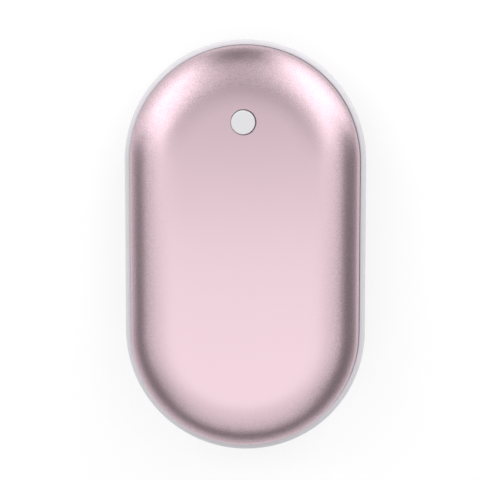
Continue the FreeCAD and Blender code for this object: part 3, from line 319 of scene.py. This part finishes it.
def arc(bm, vert, centre, degrees, steps, axis=(0, 1, 0)):
    # draw the section on along an arc
    turned = bmesh.ops.spin(bm, geom=[vert], cent=centre, axis=axis, angle=math.radians(degrees),
                            steps=steps)
    return vertsOf(turned["geom_last"])[0]


def sweepRound(bm, steps):
    # carry the section along both straight sides and round both ends
    chain = bm.edges[:]
    for centre in (endCentre, -endCentre):
        moved = vertsOf(bmesh.ops.extrude_edge_only(bm, edges=chain)["geom"])
        bmesh.ops.translate(bm, verts=moved, vec=(0, 2 * centre, 0))
        turned = bmesh.ops.spin(bm, geom=moved + edgesAmong(bm, moved), cent=(0, centre, 0),
                                axis=(0, 0, 1), angle=math.pi, steps=steps)
        chain = edgesAmong(bm, vertsOf(turned["geom_last"]))
    bmesh.ops.remove_doubles(bm, verts=bm.verts[:], dist=weld)


def spinWhole(bm, x, y, steps):
    # turn the section into a round body about an upright axis
    bmesh.ops.spin(bm, geom=bm.verts[:] + bm.edges[:], cent=(x, y, 0), axis=(0, 0, 1), angle=math.tau,
                   steps=steps, use_merge=True)
    bmesh.ops.remove_doubles(bm, verts=bm.verts[:], dist=weld)


def addBlock(bm, low, high):
    low, high = Vector(low), Vector(high)
    place = Matrix.Translation((low + high) / 2) @ Matrix.Diagonal((*(high - low), 1))
    bmesh.ops.create_cube(bm, size=1, matrix=place)


def softenEdges(bm, edges, offset, segments):
    bmesh.ops.bevel(bm, geom=edges, offset=offset, offset_type="OFFSET", segments=segments, profile=0.5,
                    affect="EDGES", material=-1)


def faceOut(bm):
    bmesh.ops.recalc_face_normals(bm, faces=bm.faces[:])


def addPiece(name, bm, material, body, node, sharp=None):
    mesh = bpy.data.meshes.new(name)
    bm.to_mesh(mesh)
    bm.free()
    mesh.shade_smooth()
    if sharp:
        mesh.set_sharp_from_angle(angle=math.radians(sharp))
    mesh.materials.append(material)
    piece = bpy.data.objects.new(name, mesh)
    scene.collection.objects.link(piece)
    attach(piece, body)
    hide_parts(node)
    return piece


# aluminium covers

coverShape = {
    "wall": 0.0009, "rimHeight": 0.0015, "rimRadius": 0.003, "rimAngle": 45.0,
    # bends from the flat outwards: radius, tilt at its end in degrees, steps
    "crown": ((0.09, 1.3, 4), (0.045, 3.3, 6), (0.0236, 20.0, 12)),
    "shoulderSteps": 16, "rimSteps": 14, "roundSteps": 80, "flatBorder": 0.0001,
    "holeRadius": 0.00307, "holeShift": (0.00011, 0.00006), "holeEdge": 0.00002,
    "holeRing": 0.00015, "holeSegments": 72,
}


def coverBends(shape):
    # centre, angle and steps of each bend of the section, from the flat out to the rim
    rimBend, rimTilt = shape["rimRadius"], math.radians(shape["rimAngle"])
    wallTop = coverLow.z + shape["rimHeight"]
    rise, lean = coverHigh.z - wallTop - rimBend * math.cos(rimTilt), 0
    for radius, tilt, _ in shape["crown"]:
        rise -= radius * (math.cos(lean) - math.cos(math.radians(tilt)))
        lean = math.radians(tilt)
    shoulder = rise / (math.cos(lean) - math.cos(rimTilt))      # takes up the height that is left
    rows = [*shape["crown"], (shoulder, shape["rimAngle"], shape["shoulderSteps"]),
            (rimBend, 90, shape["rimSteps"])]
    bends, outer = [], rimBend
    centre = Vector((coverHigh.x - rimBend, 0, wallTop))
    for count in reversed(range(len(rows))):
        radius, tilt, steps = rows[count]
        lean = math.radians(tilt)
        centre += Vector((math.sin(lean), 0, math.cos(lean))) * (outer - radius)
        before = rows[count - 1][1] if count else 0
        bends.insert(0, (centre.copy(), tilt - before, steps))
        outer = radius
    return bends


def makeCover(name, node, front):
    shape = coverShape
    top, wall, border = coverHigh.z, shape["wall"], shape["flatBorder"]
    bends = coverBends(shape)
    bm = bmesh.new()
    last = bm.verts.new((bends[0][0].x - border, -endCentre, top))
    last = stretch(bm, last, (border, 0, 0))
    for centre, degrees, steps in bends:
        last = arc(bm, last, centre, degrees, steps)
    last = stretch(bm, last, (0, 0, -shape["rimHeight"]))
    last = stretch(bm, last, (-wall, 0, 0))
    last = stretch(bm, last, (0, 0, shape["rimHeight"]))
    for centre, degrees, steps in reversed(bends):
        last = arc(bm, last, centre, -degrees, steps // 2)
    stretch(bm, last, (-border, 0, 0))
    sweepRound(bm, shape["roundSteps"])
    hole = []
    for level in (top, top - wall):
        loop = [edge for edge in bm.edges
                if edge.is_boundary and abs(edge.verts[0].co.z - level) < slack]
        if not front:
            bmesh.ops.edgeloop_fill(bm, edges=loop)
            continue
        place = Matrix.Translation(buttonPlace + Vector((*shape["holeShift"], level)))
        ringRadius = shape["holeRadius"] + shape["holeRing"]
        ring = bmesh.ops.create_circle(bm, radius=ringRadius, segments=shape["holeSegments"],
                                       matrix=place)["verts"]
        around = edgesAmong(bm, ring)
        bmesh.ops.triangle_fill(bm, use_beauty=True, edges=loop + around, normal=(0, 0, 1))
        inner = vertsOf(bmesh.ops.extrude_edge_only(bm, edges=around)["geom"])
        shrink = shape["holeRadius"] / ringRadius
        bmesh.ops.scale(bm, verts=inner, vec=(shrink, shrink, 1),
                        space=Matrix.Translation(-place.translation))
        hole += edgesAmong(bm, inner)
    if front:
        bmesh.ops.bridge_loops(bm, edges=hole)
        softenEdges(bm, hole, shape["holeEdge"], 3)
    else:
        bmesh.ops.scale(bm, verts=bm.verts[:], vec=(1, 1, -1),
                        space=Matrix.Translation((0, 0, -midHeight)))
    faceOut(bm)
    addPiece(name, bm, roseMetal, "housing", node)


makeCover("frontDish", "front_cover", True)
makeCover("rearDish", "rear_cover", False)
print("covers ready")


# push button

buttonShape = {
    "capRadius": 0.00293, "edge": 0.00025, "edgeSteps": 6, "dish": 0.00004, "dishRings": (0.45, 0.8),
    "roundSteps": 72, "flangeBelow": 0.0001, "flange": 0.0008, "post": 0.0016, "softEdge": 0.00008,
    "softAngle": 50,
}


def makeButton():
    shape = buttonShape
    bm = bmesh.new()
    top, cap, post = buttonHigh.z, shape["capRadius"], shape["post"]
    flangeTop = coverHigh.z - coverShape["wall"] - shape["flangeBelow"]
    flange = buttonHigh.x - buttonPlace.x
    x, y = buttonPlace.x, buttonPlace.y
    last = bm.verts.new((x, y, top - shape["dish"]))
    for share in shape["dishRings"]:
        sag = shape["dish"] * (1 - share * share)
        last = stretch(bm, last, Vector((x + cap * share, y, top - sag)) - last.co)
    last = stretch(bm, last, Vector((x + cap - shape["edge"], y, top)) - last.co)
    last = arc(bm, last, (x + cap - shape["edge"], y, top - shape["edge"]), 90, shape["edgeSteps"])
    last = stretch(bm, last, (0, 0, flangeTop - last.co.z))
    last = stretch(bm, last, (flange - cap, 0, 0))
    last = stretch(bm, last, (0, 0, -shape["flange"]))
    last = stretch(bm, last, (post - flange, 0, 0))
    last = stretch(bm, last, (0, 0, buttonLow.z - last.co.z))
    stretch(bm, last, (-post, 0, 0))
    spinWhole(bm, x, y, shape["roundSteps"])
    faceOut(bm)
    piece = addPiece("pushButton", bm, buttonPlastic, "button", "button")
    bevel = piece.modifiers.new("softEdges", "BEVEL")
    bevel.width, bevel.segments, bevel.limit_method = shape["softEdge"], 2, "ANGLE"
    bevel.angle_limit = math.radians(shape["softAngle"])
    bevel.harden_normals = True


makeButton()
print("button ready")


# charging output socket: a folded shell with four spring leaves

socketSteel = finish("socketSteel", (0.50, 0.50, 0.51), (0.60, 0.60, 0.61), (0.28, 0.38), metal=1.0,
                     pattern=streakGroup, grain=9000.0, drift=1500.0, depth=0.000001)

usbShape = {
    "halfWidth": 0.00655, "wall": 0.0003, "corner": 0.0006, "wing": 0.0016,
    # spring leaves: slots and sides across, rows behind the mouth, and how far each row dips
    "leafSides": (0.0016, 0.0019, 0.0039, 0.0042),
    "leafRows": (0.0022, 0.0036, 0.0050, 0.0062, 0.0072, 0.0076),
    "leafBend": (0.0, 0.00018, 0.00040, 0.00046, 0.00030),
}


def makeUsbShell():
    shape = usbShape
    low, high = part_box("usb_a_shell")
    wide, mouth = shape["halfWidth"], high.y
    bm = bmesh.new()
    addBlock(bm, (-wide, low.y, low.z), (wide, mouth, high.z))
    opening = [face for face in bm.faces if face.calc_center_median().y > mouth - shape["wall"]]
    bmesh.ops.delete(bm, geom=opening, context="FACES_ONLY")
    corners = [edge for edge in bm.edges if abs(edge.verts[0].co.y - edge.verts[1].co.y) > shape["wing"]]
    softenEdges(bm, corners, shape["corner"], 4)
    inner, leafStart, leafEnd, outer = shape["leafSides"]
    rows = [mouth - row for row in shape["leafRows"]]
    cuts = [((side * x, 0, 0), (1, 0, 0)) for x in shape["leafSides"] for side in (1, -1)]
    cuts += [((0, row, 0), (0, 1, 0)) for row in rows]
    for point, normal in cuts:
        geom = bm.verts[:] + bm.edges[:] + bm.faces[:]
        bmesh.ops.bisect_plane(bm, geom=geom, plane_co=point, plane_no=normal, dist=weld)
    middle = (low.z + high.z) / 2
    slots = []
    for face in bm.faces:
        spot = face.calc_center_median()
        x = abs(spot.x)
        onRoof = abs(abs(spot.z - middle) - (high.z - middle)) < slack
        if onRoof and inner < x < outer and rows[-1] < spot.y < rows[0]:
            if spot.y < rows[-2] or not leafStart < x < leafEnd:
                slots.append(face)
    bmesh.ops.delete(bm, geom=slots, context="FACES")
    for vert in bm.verts:
        if leafStart - slack < abs(vert.co.x) < leafEnd + slack:
            for row, bend in zip(rows, shape["leafBend"]):
                if abs(vert.co.y - row) < slack:
                    vert.co.z -= math.copysign(bend, vert.co.z - middle)
    faceOut(bm)
    bmesh.ops.solidify(bm, geom=bm.faces[:], thickness=shape["wall"])
    board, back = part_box("circuit_board")[1].z, low.y + shape["wing"]
    for side in (1, -1):
        near, far = sorted((side * wide, side * high.x))
        addBlock(bm, (near, back, board), (far, back + 2 * shape["wing"], board + shape["wall"]))
    addPiece("usbShell", bm, socketSteel, "housing", "usb_a_shell", sharp=35)


makeUsbShell()
print("output socket ready")


# foam sheets between the heaters and the cells

foamGrey = finish("foamGrey", (0.30, 0.30, 0.31), (0.38, 0.38, 0.39), (0.85, 0.95), pattern=cellGroup,
                  grain=2200.0, drift=250.0, depth=0.00012)

foamShape = {"edge": 0.0005, "edgeSteps": 4, "roundSteps": 48, "fill": 0.9}


def makeFoam(name, node):
    shape = foamShape
    low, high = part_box(node)
    bm = bmesh.new()
    first = bm.verts.new((high.x, high.y, low.z))
    last = stretch(bm, first, (0, -endCentre - high.y, 0))
    last = arc(bm, last, (0, -endCentre, low.z), -180, shape["roundSteps"], axis=(0, 0, 1))
    last = stretch(bm, last, (0, endCentre + high.y, 0))
    bm.edges.new((last, first))
    bmesh.ops.edgeloop_fill(bm, edges=bm.edges[:])
    raised = bmesh.ops.extrude_face_region(bm, geom=bm.faces[:])["geom"]
    bmesh.ops.translate(bm, verts=vertsOf(raised), vec=(0, 0, high.z - low.z))
    faceOut(bm)
    rims = [edge for edge in bm.edges if abs(edge.verts[0].co.z - edge.verts[1].co.z) < weld]
    softenEdges(bm, rims, shape["edge"], shape["edgeSteps"])
    piece = addPiece(name, bm, foamGrey, "housing", node, sharp=40)


makeFoam("frontFoam", "front_pad")
makeFoam("rearFoam", "rear_pad")
print("foam ready")


# parts on the circuit board

chipShape = {
    "legs": 5, "pitch": 0.0011, "legWidth": 0.0004, "legLength": 0.0007, "legThick": 0.00014,
    "legBends": (0.35, 0.15, 0.5),      # shares of the length: out, down, along the board
    "lift": 0.0001, "edge": 0.00012,
}


def makeChip():
    shape = chipShape
    low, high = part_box("controller_chip")
    middle = (low + high) / 2
    half = (high.x - low.x) / 2 - shape["legLength"]
    # tinned legs, and black resin between them
    chipBlack = finish("chipBlack", (0.30, 0.30, 0.31), (0.36, 0.36, 0.37), (0.3, 0.4), metal=1.0,
                       grain=6000.0)
    resin = window(chipBlack, "X", middle.x, half)
    overlay(chipBlack, resin, (0.012, 0.012, 0.014), rough=0.6, metal=0.0)
    bm = bmesh.new()
    addBlock(bm, (middle.x - half, low.y, low.z + shape["lift"]), (middle.x + half, high.y, high.z))
    softenEdges(bm, bm.edges[:], shape["edge"], 2)
    faceOut(bm)
    drop = low.z + shape["legThick"] - middle.z
    for side in (1, -1):
        for count in range(shape["legs"]):
            y = middle.y + (count - (shape["legs"] - 1) / 2) * shape["pitch"]
            start = Vector((middle.x + side * half, y - shape["legWidth"] / 2, middle.z))
            pair = [bm.verts.new(start), bm.verts.new(start + Vector((0, shape["legWidth"], 0)))]
            edge = bm.edges.new(pair)
            faces = []
            reach = side * shape["legLength"]
            for share, fall in zip(shape["legBends"], (0, drop, 0)):
                made = bmesh.ops.extrude_edge_only(bm, edges=[edge])["geom"]
                bmesh.ops.translate(bm, verts=vertsOf(made), vec=(reach * share, 0, fall))
                faces += [item for item in made if isinstance(item, bmesh.types.BMFace)]
                edge = edgesAmong(bm, vertsOf(made))[0]
            bmesh.ops.recalc_face_normals(bm, faces=faces)
            bmesh.ops.solidify(bm, geom=faces, thickness=shape["legThick"])
    addPiece("controllerChip", bm, chipBlack, "housing", "controller_chip", sharp=35)


coilShape = {"turns": 6, "turnSteps": 6, "flange": 0.0006, "core": 0.0024, "roundSteps": 48, "edge": 0.0001}


def makeInductor():
    shape = coilShape
    low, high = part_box("inductor")
    x, y = (low.x + high.x) / 2, (low.y + high.y) / 2
    radius, flange = high.y - y, shape["flange"]
    room = high.z - low.z - 2 * flange
    # copper turns between two ferrite flanges
    ferrite = finish("ferrite", (0.028, 0.028, 0.03), (0.045, 0.045, 0.047), (0.55, 0.7), grain=4500.0)
    copper = window(ferrite, "Z", (low.z + high.z) / 2, room / 2)
    overlay(ferrite, copper, (0.72, 0.30, 0.13), rough=0.35, metal=1.0)
    bm = bmesh.new()
    last = bm.verts.new((x, y, high.z))
    last = stretch(bm, last, (radius - shape["edge"], 0, 0))
    last = stretch(bm, last, (shape["edge"], 0, -shape["edge"]))
    last = stretch(bm, last, (0, 0, shape["edge"] - flange))
    last = stretch(bm, last, (shape["core"] - radius, 0, 0))
    wire = room / shape["turns"] / 2
    for _ in range(shape["turns"]):
        last = arc(bm, last, last.co - Vector((0, 0, wire)), 180, shape["turnSteps"])
    last = stretch(bm, last, (radius - shape["core"], 0, 0))
    last = stretch(bm, last, (0, 0, low.z - last.co.z))
    stretch(bm, last, (-radius, 0, 0))
    spinWhole(bm, x, y, shape["roundSteps"])
    faceOut(bm)
    addPiece("coil", bm, ferrite, "housing", "inductor", sharp=40)


capShape = {"edge": 0.00012, "endCap": 0.0005}


def makeCapacitors():
    low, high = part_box("capacitors")
    depth = high.z - low.z                    # as wide as it is high
    middle = (low.y + high.y) / 2
    # tinned ends, and fired clay between them
    clay = finish("fired", (0.52, 0.52, 0.53), (0.62, 0.62, 0.63), (0.25, 0.35), metal=1.0, grain=6000.0)
    body = window(clay, "Y", middle, (high.y - low.y) / 2 - capShape["endCap"])
    overlay(clay, body, (0.34, 0.21, 0.11), rough=0.45, metal=0.0)
    bm = bmesh.new()
    addBlock(bm, low, (low.x + depth, high.y, high.z))
    addBlock(bm, (high.x - depth, low.y, low.z), high)
    softenEdges(bm, bm.edges[:], capShape["edge"], 3)
    faceOut(bm)
    addPiece("blockCapacitors", bm, clay, "housing", "capacitors", sharp=60)


makeChip()
makeInductor()
makeCapacitors()
print("board parts ready")


# finishes of the solids that are carried over

def paint(material, *names):
    for name in names:
        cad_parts[name].data.materials.clear()
        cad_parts[name].data.materials.append(material)


paint(whitePlastic, "band")
paint(finish("curedBead", (0.045, 0.045, 0.048), (0.065, 0.065, 0.068), (0.35, 0.55),
             grain=1500.0, drift=200.0), "front_adhesive", "rear_adhesive")
paint(finish("framePlastic", (0.012, 0.012, 0.014), (0.02, 0.02, 0.022), (0.5, 0.65),
             grain=2500.0, drift=120.0), "inner_frame")
paint(finish("screwSteel", (0.48, 0.49, 0.50), (0.58, 0.58, 0.58), (0.25, 0.4), metal=1.0,
             grain=6000.0, drift=900.0), "frame_screws", "board_screws")
paint(finish("nickelStrip", (0.55, 0.53, 0.48), (0.62, 0.60, 0.55), (0.25, 0.4), metal=1.0,
             pattern=streakGroup, grain=7000.0, drift=1200.0), "positive_strip", "negative_strip")
paint(finish("redSilicone", (0.42, 0.008, 0.006), (0.50, 0.014, 0.01), (0.42, 0.55),
             grain=4000.0, drift=300.0), "positive_lead")
paint(finish("blackSilicone", (0.007, 0.007, 0.008), (0.014, 0.014, 0.015), (0.42, 0.55),
             grain=4000.0, drift=300.0), "negative_lead")
paint(finish("whiteSilicone", (0.62, 0.62, 0.59), (0.70, 0.70, 0.67), (0.42, 0.55),
             grain=4000.0, drift=300.0), "front_heater_lead", "rear_heater_lead", "thermistor_lead")
paint(finish("switchBlack", (0.009, 0.009, 0.01), (0.016, 0.016, 0.018), (0.4, 0.55),
             grain=5000.0), "switch_plunger")
paint(socketSteel, "micro_usb_shell")
paint(finish("socketWhite", (0.70, 0.70, 0.68), (0.76, 0.76, 0.74), (0.4, 0.5),
             grain=5000.0, drift=200.0), "usb_a_insulator")
paint(finish("socketBlack", (0.007, 0.007, 0.007), (0.012, 0.012, 0.012), (0.35, 0.5),
             grain=5000.0, drift=200.0), "micro_usb_insulator")
paint(finish("contactGold", (0.72, 0.45, 0.14), (0.80, 0.53, 0.19), (0.2, 0.3), metal=1.0,
             pattern=streakGroup, grain=9000.0, drift=2000.0), "usb_a_contacts")
paint(finish("sensorBead", (0.01, 0.01, 0.011), (0.02, 0.02, 0.022), (0.25, 0.4),
             grain=4000.0), "thermistor")


def paintCells():
    # bare steel ends, and a shrunk sleeve between them
    low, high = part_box("left_cell")
    lap, terminal = 0.0004, 0.0006
    sleeve = finish("cellSleeve", (0.52, 0.52, 0.53), (0.60, 0.60, 0.61), (0.25, 0.4), metal=1.0,
                    grain=2000.0, drift=150.0)
    middle, half = (low.y + high.y - terminal) / 2, (high.y - low.y - terminal) / 2 - lap
    overlay(sleeve, window(sleeve, "Y", middle, half), (0.022, 0.095, 0.34), rough=0.3, metal=0.0)
    paint(sleeve, "left_cell", "right_cell")


def paintBoard():
    # green lacquer, paler over the traces
    board = finish("solderMask", (0.004, 0.045, 0.014), (0.006, 0.06, 0.02), (0.3, 0.42),
                   grain=5000.0, drift=150.0)
    tracks = placeGroup(board, trackGroup)
    overlay(board, tracks.outputs["Trace"], (0.012, 0.11, 0.04), rough=0.3, metal=0.0)
    paint(board, "circuit_board")


def paintFilms():
    # amber film over dark heating lines
    film = finish("heaterFilm", (0.44, 0.13, 0.012), (0.50, 0.16, 0.018), (0.22, 0.34),
                  grain=3000.0, drift=120.0)
    tracks = placeGroup(film, trackGroup, Lines=190.0)
    overlay(film, tracks.outputs["Line"], (0.20, 0.055, 0.012), rough=0.3, metal=0.0)
    paint(film, "front_heater", "rear_heater")


def paintSwitch():
    # black base under a pressed steel plate
    top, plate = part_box("switch_base")[1].z, 0.0004
    switch = finish("switchBase", (0.009, 0.009, 0.01), (0.016, 0.016, 0.018), (0.4, 0.55), grain=5000.0)
    overlay(switch, window(switch, "Z", top, plate), (0.55, 0.55, 0.56), rough=0.3, metal=1.0)
    paint(switch, "switch_base")


def paintLights():
    clear = finish("frostedClear", (0.80, 0.83, 0.85), (0.86, 0.88, 0.90), (0.38, 0.50),
                   grain=3500.0, drift=300.0)
    shader = clear.node_tree.nodes["Principled BSDF"]
    shader.inputs["Transmission Weight"].default_value = 0.75
    shader.inputs["IOR"].default_value = 1.49
    paint(clear, "light_guide")
    # white chips with an amber window on top
    chip = finish("lightChip", (0.62, 0.62, 0.58), (0.70, 0.70, 0.66), (0.4, 0.5), grain=5000.0)
    top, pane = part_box("indicator_lights")[1].z, 0.0002
    overlay(chip, window(chip, "Z", top, pane), (0.80, 0.62, 0.16), rough=0.3, metal=0.0)
    paint(chip, "indicator_lights")


paintCells()
paintBoard()
paintFilms()
paintSwitch()
paintLights()
print("carried-over solids painted")


# floor, lamps and camera

studio = {
    "floorSize": 3.0, "floorDrop": 0.0001, "floorColour": (0.95, 0.95, 0.95), "floorRough": 0.6,
    "floorWhite": 0.68,             # share of plain white in what is seen, the rest keeps the shadow
    "ambient": 0.25, "lampHeight": 0.9, "lampDistance": 0.9, "lampAim": (0, 0, 0.01),
}


def makeFloor():
    bm = bmesh.new()
    bmesh.ops.create_grid(bm, x_segments=1, y_segments=1, size=studio["floorSize"])
    bmesh.ops.translate(bm, verts=bm.verts[:], vec=(0, 0, -studio["floorDrop"]))
    mesh = bpy.data.meshes.new("floor")
    bm.to_mesh(mesh)
    bm.free()
    floor = bpy.data.objects.new("floor", mesh)
    scene.collection.objects.link(floor)
    floorPaint = bpy.data.materials.new("floorPaint")
    floorPaint.use_nodes = True
    nodes, links = floorPaint.node_tree.nodes, floorPaint.node_tree.links
    paper = nodes["Principled BSDF"]
    paper.inputs["Base Color"].default_value = (*studio["floorColour"], 1)
    paper.inputs["Roughness"].default_value = studio["floorRough"]
    white = nodes.new("ShaderNodeEmission")
    rays = nodes.new("ShaderNodeLightPath")
    seen = rays.outputs["Is Camera Ray"]
    for label in ("Is Glossy Ray", "Is Transmission Ray"):
        either = nodes.new("ShaderNodeMath")
        either.operation = "MAXIMUM"
        links.new(seen, either.inputs[0])
        links.new(rays.outputs[label], either.inputs[1])
        seen = either.outputs["Value"]
    share = nodes.new("ShaderNodeMath")
    share.operation = "MULTIPLY"
    share.inputs[1].default_value = studio["floorWhite"]
    links.new(seen, share.inputs[0])
    sheet = nodes.new("ShaderNodeMixShader")
    links.new(share.outputs["Value"], sheet.inputs["Fac"])
    links.new(paper.outputs["BSDF"], sheet.inputs[1])
    links.new(white.outputs["Emission"], sheet.inputs[2])
    links.new(sheet.outputs["Shader"], nodes["Material Output"].inputs["Surface"])
    mesh.materials.append(floorPaint)


makeFloor()
world = bpy.data.worlds.new("studioAir")
world.use_nodes = True
world.node_tree.nodes["Background"].inputs["Color"].default_value = (1, 1, 1, 1)
world.node_tree.nodes["Background"].inputs["Strength"].default_value = studio["ambient"]
scene.world = world


def softbox(name, place, aim, width, length, level):
    # level is the brightness of its face, where 1 is white
    lamp = bpy.data.lights.new(name, "AREA")
    lamp.shape = "RECTANGLE"
    lamp.size, lamp.size_y = width, length
    lamp.energy = level * math.pi * width * length
    holder = bpy.data.objects.new(name, lamp)
    holder.location = place
    holder.rotation_euler = (Vector(aim) - Vector(place)).to_track_quat("-Z", "Y").to_euler()
    scene.collection.objects.link(holder)


def overhead(name, x, y, width, length, level):
    softbox(name, (x, y, studio["lampHeight"]), (x, y, 0), width, length, level)


def aside(name, azimuth, fromZenith, width, length, level):
    a, t = math.radians(azimuth), math.radians(fromZenith)
    toward = Vector((math.sin(t) * math.cos(a), math.sin(t) * math.sin(a), math.cos(t)))
    softbox(name, toward * studio["lampDistance"], studio["lampAim"], width, length, level)


# place or angles, then width, length and level
overhead("overheadMiddle", -0.03, -0.22, 0.78, 0.46, 1.2)
overhead("overheadFront", -0.06, -0.78, 1.3, 0.66, 0.88)
overhead("outerFront", -0.1, -1.36, 2.0, 0.5, 0.7)
overhead("overheadLeft", -0.62, -0.1, 0.40, 0.98, 0.95)
overhead("outerLeft", -1.12, -0.1, 0.60, 1.2, 0.64)
overhead("overheadRight", 0.64, -0.1, 0.56, 1.08, 0.9)
overhead("overheadBack", -0.06, 0.20, 0.55, 0.40, 0.26)
overhead("outerBack", -0.06, 0.85, 0.5, 0.82, 0.46)
aside("innerRight", 38, 23, 0.36, 0.22, 0.6)
aside("highRight", 48, 39, 0.50, 0.28, 2.25)
aside("cornerRight", 48, 57, 0.74, 0.30, 2.35)
aside("lowRight", 48, 77, 1.0, 0.36, 1.8)
aside("innerLeft", 150, 23, 0.30, 0.22, 0.35)
aside("highLeft", 141, 39, 0.42, 0.28, 1.95)
aside("cornerLeft", 139, 57, 0.64, 0.30, 2.35)
aside("lowLeft", 140, 77, 0.94, 0.36, 1.35)

view = {"distance": 0.32, "towardTop": 5.09, "towardRight": 3.05, "lens": 94.7, "aim": (-0.0015, 0.0012)}
camera = bpy.data.cameras.new("photoCamera")
camera.lens = view["lens"]
camera.sensor_width = 36.0
camera.clip_start = 0.01
holder = bpy.data.objects.new("photoCamera", camera)
a, b = math.radians(view["towardTop"]), math.radians(view["towardRight"])
toward = Vector((math.sin(b), math.sin(a) * math.cos(b), math.cos(a) * math.cos(b)))
holder.location = toward * view["distance"] + Vector((0, 0, midHeight))
back = (holder.location - Vector((*view["aim"], midHeight))).normalized()
across = Vector((0, 1, 0)).cross(back).normalized()     # the button end is up in the picture
holder.rotation_euler = Matrix((across, back.cross(across), back)).transposed().to_euler()
scene.collection.objects.link(holder)
scene.camera = holder
print("studio ready")
